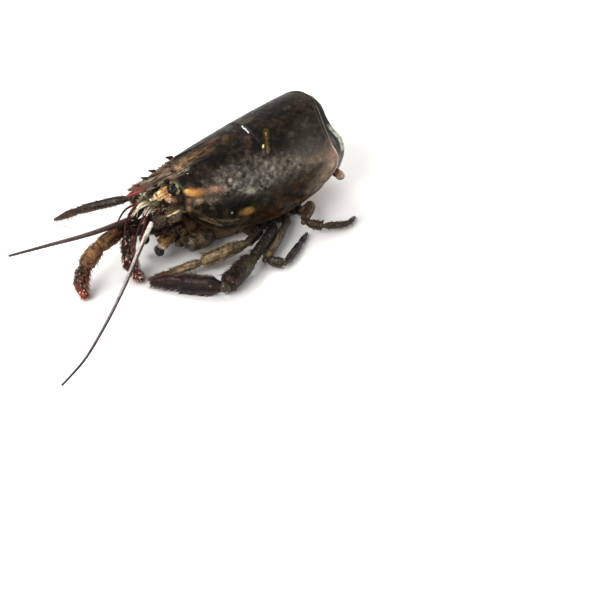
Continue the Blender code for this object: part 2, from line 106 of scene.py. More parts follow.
def placeCamera():
    turn, rise = math.radians(camera["azimuth"]), math.radians(camera["elevation"])
    back = Vector((math.sin(turn) * math.cos(rise), -math.cos(turn) * math.cos(rise), math.sin(rise)))
    right = Vector((math.cos(turn), math.sin(turn), 0))
    up = back.cross(right)
    data = bpy.data.cameras.new("camera")
    data.lens = camera["lens"]
    data.clip_start = 0.01
    eye = bpy.data.objects.new("camera", data)
    place = (back * camera["distance"] + right * camera["right"] + up * camera["up"]) * mm
    eye.matrix_world = Matrix.Translation(place) @ Matrix((right, up, back)).transposed().to_4x4()
    bpy.context.scene.collection.objects.link(eye)
    bpy.context.scene.camera = eye


def placeLight(name, look):
    data = bpy.data.lights.new(name, "AREA")
    data.shape = "DISK"
    data.size = look["width"] * mm
    data.energy = look["power"]
    data.color = linear(look["colour"])
    lamp = bpy.data.objects.new(name, data)
    place = Vector(look["place"]) * mm
    lamp.location = place
    lamp.rotation_euler = place.to_track_quat("Z", "Y").to_euler()
    bpy.context.scene.collection.objects.link(lamp)


def lightStudio():
    # a white sweep all round, dimmer overhead, so that flanks shine grey and the back stays dark
    world = bpy.data.worlds.new("studio")
    bpy.context.scene.world = world
    world.use_nodes = True
    tree = world.node_tree
    background = tree.nodes["Background"]
    direction = addNode(tree, "TexCoord").outputs["Generated"]
    height = addNode(tree, "SeparateXYZ", {"Vector": direction}).outputs["Z"]
    low, high = studio["horizon"], studio["overhead"]
    limits = {"Value": height, "From Min": 0.08, "From Max": 0.5}
    share = addNode(tree, "MapRange", limits, clamp=True).outputs[0]
    strength = addNode(tree, "MapRange", {"Value": share, "To Min": low[1], "To Max": high[1]})
    tone = addNode(tree, "ValToRGB", {"Fac": share}, stops=[(0.0, low[0]), (1.0, high[0])])
    feed(tree, background, {"Color": tone.outputs["Color"], "Strength": strength.outputs[0]})
    for name, look in studio["lamps"].items():
        placeLight(name, look)


def layFloor():
    half = studio["floorWidth"] / 2 * mm
    mesh = bpy.data.meshes.new("floor")
    corners = [(-half, -half, 0), (half, -half, 0), (half, half, 0), (-half, half, 0)]
    mesh.from_pydata(corners, [], [(0, 1, 2, 3)])
    floor = bpy.data.objects.new("floor", mesh)
    bpy.context.scene.collection.objects.link(floor)
    paper = bpy.data.materials.new("mattWhiteCard")  # plain matt card: no shine of its own
    paper.use_nodes = True
    tree, white = paper.node_tree, (*linear(studio["floor"]), 1)
    matt = {"Base Color": white, "Roughness": 0.9, "Specular IOR Level": 0.1}
    feed(tree, tree.nodes["Principled BSDF"], matt)
    mesh.materials.append(paper)


placeCamera()
lightStudio()
layFloor()
bpy.context.scene.view_settings.view_transform = "Standard"
bpy.context.scene.view_settings.gamma = studio["contrast"]
print("camera, floor and light are in place")


# Numbers and curves

def alongTable(table, at):
    # the table's values at each place, on a smooth curve through its rows; the first number is the place
    rows = np.array(sorted(table, key=lambda row: row[0]), float)
    knots, values = rows[:, 0], rows[:, 1:]
    at = np.clip(np.asarray(at, float), knots[0], knots[-1])
    i = np.minimum(np.searchsorted(knots, at, side="right") - 1, len(knots) - 2)
    slopes = np.gradient(values, knots, axis=0)
    step = (knots[i + 1] - knots[i])[..., None]
    s = (at - knots[i])[..., None] / step
    return (
        (2 * s**3 - 3 * s**2 + 1) * values[i]
        + (s**3 - 2 * s**2 + s) * step * slopes[i]
        + (3 * s**2 - 2 * s**3) * values[i + 1]
        + (s**3 - s**2) * step * slopes[i + 1]
    )


def fade(value, low, high):
    # 0 up to low, 1 from high, smooth between
    s = np.clip((np.asarray(value, float) - low) / (high - low), 0, 1)
    return s * s * (3 - 2 * s)


def bump(value, middle, reach):
    # 1 at the middle, falling away to nothing at about twice the reach
    return np.exp(-(((value - middle) / reach) ** 2))


def unit(vectors):
    vectors = np.asarray(vectors, float)
    return vectors / np.maximum(np.linalg.norm(vectors, axis=-1, keepdims=True), 1e-9)


def latticeValue(cell, seed):
    # a fixed value from 0 to 1 for each cell of a lattice
    mixed = cell[..., 0] * 73856093 ^ cell[..., 1] * 19349663 ^ cell[..., 2] * 83492791 ^ seed * 26544357
    mixed = (mixed ^ (mixed >> 13)) * 1274126177
    return ((mixed ^ (mixed >> 16)) & 65535) / 65535


def clouds(points, size, seed=1, layers=3):
    # smooth noise from -1 to 1, with lumps about the size across and finer ones on them
    total, weight = 0.0, 1.0
    for layer in range(layers):
        at = np.asarray(points, float) / size * 2**layer + 1000.5
        cell = np.floor(at).astype(np.int64)
        part = at - cell
        part = part * part * (3 - 2 * part)
        value = 0.0
        for corner in itertools.product((0, 1), repeat=3):
            share = np.prod(np.where(np.array(corner) == 1, part, 1 - part), axis=-1)
            value = value + share * latticeValue(cell + np.array(corner), seed + layer)
        total = total + weight * (2 * value - 1)
        weight *= 0.5
    return total / (2 - 0.5 ** (layers - 1))


# Meshes

def newShape():
    return {"points": [], "quads": [], "tris": [], "paint": [], "count": 0}


def signedVolume(points, quads, tris):
    every = np.concatenate([tris, quads[:, :3], quads[:, [0, 2, 3]]])
    a, b, c = (points[every[:, k]] for k in range(3))
    return np.sum(a * np.cross(b, c))


def addPart(shape, points, quads, tris, paint):
    # adds a closed part to the shape, with its faces turned outward
    points = np.asarray(points, float).reshape(-1, 3)
    quads = np.asarray(quads, int).reshape(-1, 4)
    tris = np.asarray(tris, int).reshape(-1, 3)
    if signedVolume(points - points.mean(0), quads, tris) < 0:
        quads, tris = quads[:, ::-1], tris[:, ::-1]
    start = shape["count"]
    shape["points"].append(points)
    shape["quads"].append(quads + start)
    shape["tris"].append(tris + start)
    shape["paint"].append(np.broadcast_to(paint, points.shape).reshape(-1, 3))
    shape["count"] += len(points)


def gridQuads(rows, columns, closed=False):
    # the faces between the rows of a grid of points; closed joins the last column to the first
    r, c = np.meshgrid(np.arange(rows - 1), np.arange(columns if closed else columns - 1), indexing="ij")
    beside = (c + 1) % columns
    faces = [r * columns + c, r * columns + beside, (r + 1) * columns + beside, (r + 1) * columns + c]
    return np.stack(faces, -1).reshape(-1, 4)


def fans(rows, columns):
    # the faces that close a tube of points at both ends, round two points that follow its rows
    faces, last = [], (rows - 1) * columns
    for k in range(columns):
        beside = (k + 1) % columns
        faces.append((beside, k, rows * columns))
        faces.append((last + k, last + beside, rows * columns + 1))
    return faces


def withEnds(grid):
    # the points or colours of a tube's rows, then the mean of its first row and of its last
    return np.concatenate([grid.reshape(-1, 3), [grid[0].mean(0), grid[-1].mean(0)]])


def mirrored(points, side):
    # the points as they are on the animal's left, where side is 1, or turned over to its right, for -1
    return np.array(points, float) * np.array([side, 1, 1])


def makePiece(name, shape, finish, slotName, *nodes):
    # the object of a finished shape, which rides on the body and stands for its CAD nodes
    points = np.concatenate(shape["points"]) * mm
    faces = np.concatenate(shape["quads"]).tolist() + np.concatenate(shape["tris"]).tolist()
    mesh = bpy.data.meshes.new(name)
    mesh.from_pydata(points.tolist(), [], faces)
    paint = np.concatenate([np.concatenate(shape["paint"]), np.ones((len(points), 1))], axis=1)
    layer = mesh.color_attributes.new("paint", "FLOAT_COLOR", "POINT")
    layer.data.foreach_set("color", np.clip(paint, 0, 1).astype(np.float32).ravel())
    mesh.materials.append(finishes[finish])
    mesh.shade_smooth()
    piece = bpy.data.objects.new(name, mesh)
    bpy.context.scene.collection.objects.link(piece)
    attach(piece, "root")
    if nodes:
        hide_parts(*nodes)
    return piece


def addCones(shape, roots, directions, bends, lengths, radii, colours, corners=3, steps=2, bluntness=0.8):
    # spines or bristles: tapered, bent by the bends, from the first of the two colours to the second
    count = len(roots)
    if count == 0:
        return
    directions, roots = unit(directions), np.asarray(roots, float)
    lengths, radii = (np.broadcast_to(v, count).reshape(-1, 1) for v in (lengths, radii))
    upright = np.abs(directions[:, 2:]) > 0.9
    first = unit(np.cross(directions, np.where(upright, [[1, 0, 0]], [[0, 0, 1]])))
    second = np.cross(directions, first)
    bends = np.broadcast_to(bends, (count, 3))
    shares = np.linspace(0, 1, steps + 1)[:-1]
    turns = np.arange(corners) * 2 * math.pi / corners
    rings = []
    for share in shares:
        middle = roots + (directions * (share - 0.08 * (share == 0)) + bends * share**2) * lengths
        thick = radii * (1 - share) ** bluntness
        for turn in turns:
            rings.append(middle + (first * math.cos(turn) + second * math.sin(turn)) * thick)
    points = np.stack(rings + [roots + (directions + bends) * lengths], axis=1)
    points[..., 2] = np.maximum(points[..., 2], tableClearance)
    each = points.shape[1]
    quads = gridQuads(steps, corners, closed=True)
    last = (steps - 1) * corners
    tris = [(last + k, last + (k + 1) % corners, each - 1) for k in range(corners)]
    tris += [(0, k + 1, k) for k in range(1, corners - 1)]
    starts = np.arange(count).reshape(-1, 1, 1) * each
    tint = np.append(np.repeat(shares, corners), 1.0).reshape(1, -1, 1)
    base, tip = (np.asarray(c, float).reshape(-1, 1, 3) for c in colours)
    paint = np.broadcast_to(base * (1 - tint) + tip * tint, points.shape)
    start = shape["count"]
    shape["points"].append(points.reshape(-1, 3))
    shape["quads"].append((quads[None] + starts).reshape(-1, 4) + start)
    shape["tris"].append((np.array(tris)[None] + starts).reshape(-1, 3) + start)
    shape["paint"].append(paint.reshape(-1, 3))
    shape["count"] += count * each


def addBall(shape, middle, radii, colour, rows=18, columns=28, lumps=0.0, seed=1, lumpSize=2.4):
    # an ellipsoid with a lumpy surface; its colour may be a function of the points
    polar, round_ = np.meshgrid(
        np.linspace(0, math.pi, rows)[1:-1], np.arange(columns) * 2 * math.pi / columns, indexing="ij"
    )
    normals = np.stack([np.sin(polar) * np.cos(round_), np.sin(polar) * np.sin(round_), np.cos(polar)], -1)
    grid = np.array(middle) + normals * np.array(radii)
    points = withEnds(grid + normals * (lumps * clouds(grid, lumpSize, seed))[..., None])
    colour = colour(points) if callable(colour) else colour
    count = rows - 2
    addPart(shape, points, gridQuads(count, columns, closed=True), fans(count, columns), colour)


def sweep(
    shape, path, profile, width, height, paint, relief=None, trims=(0, 0), columns=28, step=0.45, dome=0.3
):
    # an oval limb along a smooth curve, as thick as the profile says, with domed ends
    path = np.array(path, float)
    reach = np.concatenate([[0], np.cumsum(np.linalg.norm(np.diff(path, axis=0), axis=1))])
    table, length = np.column_stack([reach, path]), reach[-1]
    span = length - trims[0] - trims[1]
    shares = np.linspace(0, 1, max(8, int(span / step)) + 1)
    at = trims[0] + shares * span
    middles = alongTable(table, at)
    ahead, behind = np.minimum(at + 0.5, length), np.maximum(at - 0.5, 0)
    tangents = unit(alongTable(table, ahead) - alongTable(table, behind))
    sizes = alongTable(profile, shares)[:, 0]
    domes = np.radians([12, 32, 52, 72])
    scale = np.concatenate([np.sin(domes), np.ones(len(shares)), np.sin(domes)[::-1]])
    push = np.concatenate([-np.cos(domes), np.zeros(len(shares)), np.cos(domes)[::-1]])
    copies = np.concatenate([np.zeros(4, int), np.arange(len(shares)), np.full(4, len(shares) - 1)])
    middles, tangents, sizes, shares = middles[copies], tangents[copies], sizes[copies], shares[copies]
    middles = middles + tangents * (push * dome * height / 2 * sizes)[:, None]
    across = unit(np.cross(tangents, [0.0, 0.0, 1.0]))
    upward = np.cross(across, tangents)
    turns = np.arange(columns) * 2 * math.pi / columns
    halfWidths, halfHeights = sizes * width / 2, sizes * height / 2
    sideways = across[:, None] * np.cos(turns)[None, :, None]
    upwards = upward[:, None] * np.sin(turns)[None, :, None]
    spread = sideways * halfWidths[:, None, None] + upwards * halfHeights[:, None, None]
    normals = unit(sideways / halfWidths[:, None, None] + upwards / halfHeights[:, None, None])
    grid = middles[:, None] + spread * scale[:, None, None]
    along = np.broadcast_to(shares[:, None], grid.shape[:2])
    round_ = np.broadcast_to(turns[None], grid.shape[:2])
    if relief is not None:
        grid = grid + normals * (relief(along, round_, grid) * scale[:, None])[..., None]
    grid[..., 2] = np.maximum(grid[..., 2], tableClearance)
    rows, colours = len(shares), paint(along, round_, grid).reshape(-1, 3)
    colours = np.concatenate([colours, colours[:1], colours[-1:]])
    addPart(shape, withEnds(grid), gridQuads(rows, columns, closed=True), fans(rows, columns), colours)
    return {"grid": grid, "normals": normals, "tangents": tangents, "shares": shares, "columns": columns}


def rootsOn(limb, shares, degrees):
    # places on a limb's surface, with the outward and the lengthwise direction there
    rows = np.clip(np.searchsorted(limb["shares"], shares), 4, len(limb["shares"]) - 5)
    columns = np.round(np.asarray(degrees) / 360 * limb["columns"]).astype(int) % limb["columns"]
    return limb["grid"][rows, columns], limb["normals"][rows, columns], limb["tangents"][rows]


def blended(colours, share):
    # a colour from stops of share and hex, smoothly blended
    return alongTable([(place, *linear(colour)) for place, colour in colours], share)


def laidOver(paint, colour, mask):
    # the paint, with the colour over it where the mask is above 0
    mask = np.clip(mask, 0, 1)[..., None]
    return paint * (1 - mask) + linear(colour) * mask


def clouded(points, tones, size, seed, low=-0.4, high=0.5):
    # the first of two tones, with soft clouds of the second
    return laidOver(linear(tones[0]), tones[1], fade(clouds(points, size, seed), low, high))


def closedSheet(shape, outer, normals, thickness, paint, innerColour, coarse=4):
    # a shell with a rounded edge from the grid of its outer face; the inner face keeps every coarse-th point
    rows, columns = outer.shape[:2]
    inner = (outer - normals * thickness)[::coarse, ::coarse]
    inRows, inColumns = inner.shape[:2]

    def loopOf(grid):
        return np.concatenate([grid[0, :-1], grid[:-1, -1], grid[-1, :0:-1], grid[:0:-1, 0]])

    def inwardOf(grid):
        front, side = grid[2, :-1] - grid[0, :-1], grid[:-1, -3] - grid[:-1, -1]
        back, other = grid[-3, :0:-1] - grid[-1, :0:-1], grid[:0:-1, 2] - grid[:0:-1, 0]
        return unit(np.concatenate([front, side, back, other]))

    rim, rimNormals = loopOf(outer), loopOf(normals)
    middle = rim - rimNormals * thickness * 0.45 - inwardOf(outer) * thickness * 0.32
    points = np.concatenate([outer.reshape(-1, 3), inner.reshape(-1, 3), middle])
    outerIndex = np.arange(rows * columns).reshape(rows, columns)
    innerIndex = rows * columns + np.arange(inRows * inColumns).reshape(inRows, inColumns)
    outerLoop, innerLoop = loopOf(outerIndex), loopOf(innerIndex)
    middleLoop = rows * columns + inRows * inColumns + np.arange(len(rim))
    border = np.stack([np.roll(outerLoop, -1), outerLoop, middleLoop, np.roll(middleLoop, -1)], -1)
    inside = (gridQuads(inRows, inColumns) + rows * columns)[:, ::-1]
    quads = np.concatenate([gridQuads(rows, columns), inside, border])
    nextInner, tris = np.roll(innerLoop, -1), []
    for j in range(len(innerLoop)):
        outside = [middleLoop[(coarse * j + k) % len(middleLoop)] for k in range(coarse + 1)]
        for k in range(coarse):
            corner = innerLoop[j] if k < coarse // 2 else nextInner[j]
            tris.append((corner, outside[k + 1], outside[k]))
        tris.append((innerLoop[j], nextInner[j], outside[coarse // 2]))
    lining = np.broadcast_to(linear(innerColour), (inRows * inColumns, 3))
    colours = np.concatenate([paint.reshape(-1, 3), lining, loopOf(paint) * 0.8])
    addPart(shape, points, quads, tris, colours)


# Finishes

def perMm(size):
    # a texture scale, per metre, whose pattern repeats about every so many millimetres
    return 1 / (size * mm)


def newFinish(name):
    # a material with its node tree, its shader and the object's own coordinates
    finish = bpy.data.materials.new(name)
    finish.use_nodes = True
    tree = finish.node_tree
    return finish, tree, tree.nodes["Principled BSDF"], addNode(tree, "TexCoord").outputs["Object"]


def tinted(tree, colour, pattern, low, high, depth, tone):
    # the colour, with the tone over it as far as the pattern has come from low to high
    limits = {"Value": pattern, "From Min": low, "From Max": high, "To Max": depth}
    share = addNode(tree, "MapRange", limits).outputs[0]
    mixed = {0: share, 6: colour, 7: (*linear(tone), 1)}
    return addNode(tree, "Mix", mixed, data_type="RGBA").outputs[2]


def bumps(tree, height, strength, distance):
    relief = {"Strength": strength, "Distance": distance * mm, "Height": height}
    return addNode(tree, "Bump", relief).outputs[0]


def chitin(name, look):
    # lobster shell: grown, not moulded; a hard clear film over cloudy pigment, pitted like orange peel
    finish, tree, shader, place = newFinish(name)
    colour = addNode(tree, "Attribute", attribute_name="paint").outputs["Color"]
    broad = {"Scale": perMm(look["cloud"]), "Detail": 5.0, "Roughness": 0.65, "Distortion": 0.8}
    fine = {"Scale": perMm(look["spot"]), "Detail": 3.0, "Roughness": 0.55, "Distortion": 0.3}
    cloud = addNode(tree, "TexNoise", {"Vector": place, **broad}).outputs["Fac"]
    spots = addNode(tree, "TexNoise", {"Vector": place, **fine}).outputs["Fac"]
    colour = tinted(tree, colour, cloud, 0.47, 0.66, look["cloudDepth"], look["deep"])
    colour = tinted(tree, colour, spots, 0.53, 0.60, look["spotDepth"], look["deep"])
    colour = tinted(tree, colour, spots, 0.38, 0.29, look["fleckDepth"], look["fleck"])
    smooth, rough = look["gloss"]
    limits = {"Value": cloud, "From Min": 0.3, "From Max": 0.7, "To Min": smooth, "To Max": rough}
    pits = addNode(tree, "TexVoronoi", {"Vector": place, "Scale": perMm(look["pit"])}, feature="SMOOTH_F1")
    grain = addNode(tree, "TexNoise", {"Vector": place, "Scale": perMm(look["pit"] * 0.6), "Detail": 2.0})
    height = addNode(tree, "Math", {0: pits.outputs["Distance"], 1: grain.outputs["Fac"]}, operation="ADD")
    feed(tree, shader, {
        "Base Color": colour,
        "Roughness": addNode(tree, "MapRange", limits).outputs[0],
        "Normal": bumps(tree, height.outputs[0], look["pitDepth"], 0.16),
        "IOR": 1.56,
        "Specular IOR Level": look["shine"],
        "Coat Weight": look["wet"],
        "Coat Roughness": look["wetRoughness"],
        "Coat IOR": 1.33,
    })
    return finish


def softTissue(name, look):
    # wet skin or raw muscle: light sinks in and comes back pinkish, under a thin film of water
    finish, tree, shader, place = newFinish(name)
    colour = addNode(tree, "Attribute", attribute_name="paint").outputs["Color"]
    fibres = {"Scale": perMm(look["fibre"]), "Detail": 4.0, "Roughness": 0.6, "Distortion": 1.2}
    streak = addNode(tree, "TexNoise", {"Vector": place, **fibres}).outputs["Fac"]
    feed(tree, shader, {
        "Base Color": tinted(tree, colour, streak, 0.42, 0.62, look["veins"], look["vein"]),
        "Roughness": look["roughness"],
        "Normal": bumps(tree, streak, look["relief"], 0.25),
        "IOR": 1.38,
        "Subsurface Weight": look["depth"],
        "Subsurface Radius": (1.0, 0.45, 0.3),
        "Subsurface Scale": 1.5 * mm,
        "Coat Weight": 0.6,
        "Coat Roughness": 0.1,
        "Coat IOR": 1.33,
    })
    return finish


def cornea(name):
    # a compound eye: black and glossy, its facets too fine to see, drawn 0.25 mm wide
    finish, tree, shader, place = newFinish(name)
    facets = addNode(tree, "TexVoronoi", {"Vector": place, "Scale": perMm(0.25)}).outputs["Distance"]
    # near-black with dark purple patches: painted sheen
    paintedSheen = addNode(tree, "TexNoise", {"Vector": place, "Scale": perMm(2.5)}).outputs["Fac"]
    tones = [(0.35, "#040304"), (0.7, "#1f1216")]
    feed(tree, shader, {
        "Base Color": addNode(tree, "ValToRGB", {"Fac": paintedSheen}, stops=tones).outputs[0],
        "Roughness": 0.3,
        "Normal": bumps(tree, facets, 0.12, 0.05),
        "IOR": 1.5,
        "Specular IOR Level": 0.12,
        "Coat Weight": 1.0,
        "Coat Roughness": 0.03,
        "Coat IOR": 1.42,
    })
    return finish


def horn(name):
    # bristles and spines: horn-like and slightly see-through, drawn as a satin of their own colour
    finish, tree, shader, place = newFinish(name)
    colour = addNode(tree, "Attribute", attribute_name="paint").outputs["Color"]
    bands = addNode(tree, "TexNoise", {"Vector": place, "Scale": perMm(0.8), "Detail": 2.0}).outputs["Fac"]
    feed(tree, shader, {
        "Base Color": tinted(tree, colour, bands, 0.4, 0.7, 0.45, "#1d120d"),
        "Roughness": 0.4,
        "IOR": 1.54,
        "Coat Weight": 0.4,
        "Coat Roughness": 0.15,
    })
    return finish


finishes = {
    # the back's shell: near-black film with cloudy brown, satin where it has dried
    "shell": chitin("wetBackShell", {
        "cloud": 4.0, "cloudDepth": 0.2, "spot": 0.9, "spotDepth": 0.25, "fleckDepth": 0.1,
        "deep": "#0f0c08", "fleck": "#7d7664", "gloss": (0.26, 0.46), "pit": 0.8, "pitDepth": 0.35,
        "wet": 0.05, "wetRoughness": 0.2, "shine": 0.2,
    }),
    # the ring slides under the back's shell, so it is smoother and glossier
    "ring": chitin("slickRingShell", {
        "cloud": 5.0, "cloudDepth": 0.6, "spot": 1.6, "spotDepth": 0.5, "fleckDepth": 0.2,
        "deep": "#14120d", "fleck": "#8a8468", "gloss": (0.18, 0.32), "pit": 0.9, "pitDepth": 0.12,
        "wet": 0.5, "wetRoughness": 0.08, "shine": 0.45,
    }),
    # limbs: thinner shell, dappled at the scale of the limb, wet
    "limb": chitin("dappledLimbShell", {
        "cloud": 3.4, "cloudDepth": 0.6, "spot": 1.5, "spotDepth": 0.28, "fleckDepth": 0.3,
        "deep": "#120d09", "fleck": "#a89a80", "gloss": (0.3, 0.5), "pit": 0.7, "pitDepth": 0.75,
        "wet": 0.22, "wetRoughness": 0.06, "shine": 0.16,
    }),
    # feelers and small parts of the head: fine-grained, nearly plain
    "feeler": chitin("fineFeelerShell", {
        "cloud": 2.4, "cloudDepth": 0.45, "spot": 0.7, "spotDepth": 0.45, "fleckDepth": 0.35,
        "deep": "#17100e", "fleck": "#9a8d7a", "gloss": (0.26, 0.42), "pit": 0.4, "pitDepth": 0.3,
        "wet": 0.3, "wetRoughness": 0.08, "shine": 0.25,
    }),
    # cut muscle: pinkish and wet, with darker fibres and bundles
    "flesh": softTissue("rawTailFlesh", {
        "fibre": 2.6, "veins": 0.55, "vein": "#9c6a5a", "relief": 0.5, "roughness": 0.3, "depth": 0.35,
    }),
    # the skin of the joints, stretched and torn: dull, with dark folds
    "skin": softTissue("jointSkin", {
        "fibre": 1.2, "veins": 0.6, "vein": "#4a3426", "relief": 0.4, "roughness": 0.38, "depth": 0.15,
    }),
    "eye": cornea("blackCornea"),
    "horn": horn("hornBristle"),
}
print("finishes are mixed")


# The shell over the back

carapace = {
    # y, half width, top, height of the widest point, lower edge
    "sections": (
        (-46, 10.5, 49.0, 39.5, 27.0), (-42, 12.6, 50.4, 38.5, 24.0), (-33, 16.4, 52.4, 36.0, 18.0),
        (-22, 19.8, 53.8, 33.5, 11.2), (-11, 22.2, 55.0, 32.5, 9.2), (1, 24.2, 56.0, 32.5, 8.0),
        (13, 25.6, 57.3, 33.0, 7.8), (25, 26.4, 59.0, 33.5, 9.6), (38, 26.8, 60.9, 34.0, 13.0),
        (52, 26.6, 61.9, 34.0, 17.0),
    ),
    "peak": 0.14,  # how much sharper than an oval the arch is near the rear edge
    # share of the way down, then y of the front edge, of the groove and of the rear edge
    "edges": (
        (0.00, -42.0, 6.4, 49.0), (0.11, -40.0, 6.0, 48.6), (0.20, -43.2, 6.4, 47.4),
        (0.32, -44.4, 5.2, 45.8), (0.50, -43.0, -1.5, 46.0), (0.70, -42.0, -11.0, 49.6),
        (0.86, -41.2, -15.5, 47.2), (0.94, -37.5, -16.0, 43.6), (1.00, -29.5, -16.0, 38.0),
    ),
    "wrap": 128.0,  # degrees from the midline to the lower edge
    "perDegree": 0.45,  # millimetres round the shell for each degree
    "axis": 34.0,  # height of the line that the shell arches over
    "thickness": 1.3,
    "grooveDepth": 0.85,
    "rimDepth": 0.25,
    "rimWidth": 2.4,
    "rows": 221,
    "columns": 337,
    "spacing": 0.42,  # millimetres between its rows, about
    "tubercles": 1100,
    "ground": ("#1e1811", "#2b241b"),
    "inside": "#8d6f5c",
    # colour, y, degrees from the midline, reach along, reach round in degrees, strength
    "washes": (
        ("#544f46", -8, 62, 22, 17, 0.95),  # slate grey flank, partly painted sheen
        ("#413c34", 31, 58, 12, 15, 0.95),
        ("#3a362f", 37, 38, 8, 10, 0.9),
        ("#2b261c", 18, 44, 6, 8, 0.9),
        ("#2b2017", 25, 15, 14, 12, 0.9),  # near-black shoulder
        ("#382c21", 43, 1, 6, 16, 0.85),
        ("#46392f", 47.5, 7, 2.6, 12, 0.8),
        ("#3b2a1a", -6, -1, 8, 11, 0.85),
        ("#54381f", -20, -1, 7, 9, 0.85),  # reddish crest
        ("#6d5637", -32, 4, 6, 9, 0.85),
        ("#1b160f", -19, 27, 15, 9, 0.95),  # black band behind the eye
        ("#2a221e", -32, 37, 6, 11, 0.85),
        ("#30281f", -4, 29, 6, 7, 0.8),
        ("#44362f", 2, 19, 3, 6, 0.8),
        ("#6a655b", 1, 77, 15, 10, 0.88),  # the palest slate, partly painted sheen
        ("#48433c", 2, 61, 6, 5, 0.6),
        ("#645c51", 20, 72, 11, 10, 0.85),
        ("#5c544b", 9, 58, 5, 7, 0.7),
        ("#4f4b45", -18, 47, 5, 5, 0.7),
        ("#736558", 36, 79, 7, 10, 0.9),
        ("#967e70", 46, 90, 4.6, 25, 0.95),  # pinkish beige at the rear edge
        ("#84725c", 40, 103, 7, 9, 0.9),
        ("#8a7a66", 35, 118, 8, 8, 0.85),
        ("#412b12", 21, 99, 12, 9, 0.95),  # olive-brown below
        ("#3a260f", 7, 108, 10, 8, 0.9),
        ("#573d26", 13, 122, 14, 5, 0.85),
        ("#29230f", -13, 99, 14, 6, 0.95),  # black-green band along the cheek
        ("#757266", -6, 85, 6, 4, 0.8),
        ("#2c261c", -31, 103, 8, 6, 0.9),
        ("#3e3325", -15, 115, 10, 4, 0.8),
        ("#64513e", -29, 114, 4, 3, 0.9),
        ("#553d24", -2, 123, 10, 5, 0.8),
        ("#6d5c4a", -36.5, 89, 8, 11, 0.85),  # cream cheek
        ("#86705a", -41.5, 103, 3.6, 7, 0.95),
        ("#5b4830", 28, 108, 9, 6, 0.75),
        ("#5f4c3a", -41, 8, 7, 16, 0.85),  # the foot of the rostrum
        ("#6d6459", -28.5, 89, 4, 4.5, 0.85),
        ("#675e51", -22, 71, 5, 8, 0.8),
        ("#957463", -28, 71.5, 6, 6, 0.95),  # pinkish streak behind the orange
        ("#8f6c46", -34.5, 71, 4.5, 6, 0.95),
    ),
    # on the left side alone: colour, y, degrees, reach along, reach round in degrees, strength
    "marks": (
        ("#b27f48", -37.6, 72.5, 4.2, 9.5, 0.8),  # orange patch behind the eye
        ("#d39f5e", -39.6, 72.5, 3.0, 7.6, 0.85),
        ("#eec68a", -40.8, 69, 1.6, 4.6, 0.8),
        ("#b39c8c", -17.5, 61.8, 1.2, 2.6, 0.9),
        ("#a1814a", -9.5, 107.3, 4.0, 4.6, 0.95),  # mustard patch on the cheek
        ("#c0c2ba", -18.2, 104.8, 0.6, 1.2, 0.9),
        ("#b39a7a", -40.8, 104, 1.4, 4.6, 0.8),  # cream edge of the cheek
        ("#9c8260", -40.8, 91, 1.3, 4.6, 0.7),
        ("#ffffff", -36.1, 31, 0.8, 1.6, 1.0),  # a painted highlight beside the rostrum
        ("#5b5950", 25.2, 38.5, 1.6, 3.4, 0.5),
        ("#5c503a", 12, -11, 4.5, 5.0, 0.7),
        ("#6d4a36", -12, -9, 5, 4.5, 0.6),
    ),
    # on the left side alone: colour, width, strength, then y and degrees of each point of a stroke
    "strokes": (
        ("#0f0c08", 2.6, 0.75, (13.5, 16), (12, 27), (10, 37), (9.5, 47)),
        # dark line along the groove: painted shade in the groove
        ("#15110a", 1.6, 0.7, (6.8, 8), (6.2, 24), (5.6, 40)),
        ("#54451c", 2.2, 0.75, (14.4, 18), (12.6, 24), (11.6, 30)),  # olive streak behind the groove
        ("#665528", 1.7, 0.7, (11.8, 29), (9.6, 36), (9.4, 44)),
        ("#9c8748", 0.8, 0.7, (13.0, 22.5), (12.2, 26)),
        ("#857344", 0.9, 0.7, (9.0, 39), (8.0, 46)),
        ("#e9dda6", 1.2, 1.0, (7.6, 35.6), (7.0, 37.5)),
        ("#ffffff", 0.75, 1.0, (6.9, -6), (6.3, 3), (6.0, 9)),  # painted highlight on the groove's wall
        ("#97805f", 1.3, 0.7, (-34.8, 115), (-29, 118), (-23, 119.5)),  # cream lip above the stub
        ("#8f7a5e", 0.9, 0.6, (-26, 112), (-20, 113.5), (-13, 114)),
        ("#7a4a3a", 1.3, 0.5, (-40, 14), (-33, 12), (-25, 10), (-17, 9)),
        ("#9a8458", 0.9, 0.5, (-37, 2), (-29, 3), (-22, 2)),
        ("#9c9080", 0.7, 0.6, (-43, 19), (-38, 17), (-32, 15)),  # grey light along the rostrum's foot
    ),
    # where black blotches crowd: y, degrees, reach along, reach round, amount
    "inks": (
        (-20, 29, 18, 9, 0.3), (-16, 98, 20, 7, 0.45), (24, 100, 14, 8, 0.1), (12, 30, 7, 16, 0.28),
        (-10, 68, 20, 15, -0.25), (40, 76, 12, 26, -0.7), (-29, 74, 9, 8, -0.5), (28, 50, 12, 16, -0.5),
        (24, 14, 12, 10, 0.1), (-30, 4, 9, 7, -0.2),
    ),
    "ink": "#0e0b08",
    # where a painted sheen of pale specks lies on the shell: y, degrees, reach along, reach round, amount
    "sheenPatches": ((-10, 75, 13, 11, 1.0), (7, 70, 9, 11, 0.45), (-24, 60, 8, 8, 0.5), (0, 50, 8, 6, 0.3)),
    "sheenTones": ("#a5a297", "#2b2a25"),  # the painted sheen's specks and the bare shell between them
    "crest": ("#9a7d50", "#1c130f"),  # light and dark streaks along the back
    # the rear edge: along the back, a faint line before it, down the flanks, and painted shade in the hollow
    # before it
    "rim": ("#8b8f82", "#787a6c", "#d2c3b2", "#241f18"),
    "lip": ("#5f4a34", "#3a3426", "#a9a07c"),  # lower edge, front edge, and the edge of the eye socket
    # where the pigment lies smooth: y, degrees, reach along, reach round, amount
    "calms": (
        (32, 42, 12, 20, 0.9), (30, 66, 12, 14, 0.9), (44, 84, 8, 22, 1.0), (38, 108, 10, 14, 0.9),
        (16, 104, 12, 9, 0.4), (46, 4, 6, 14, 0.6),
    ),
}


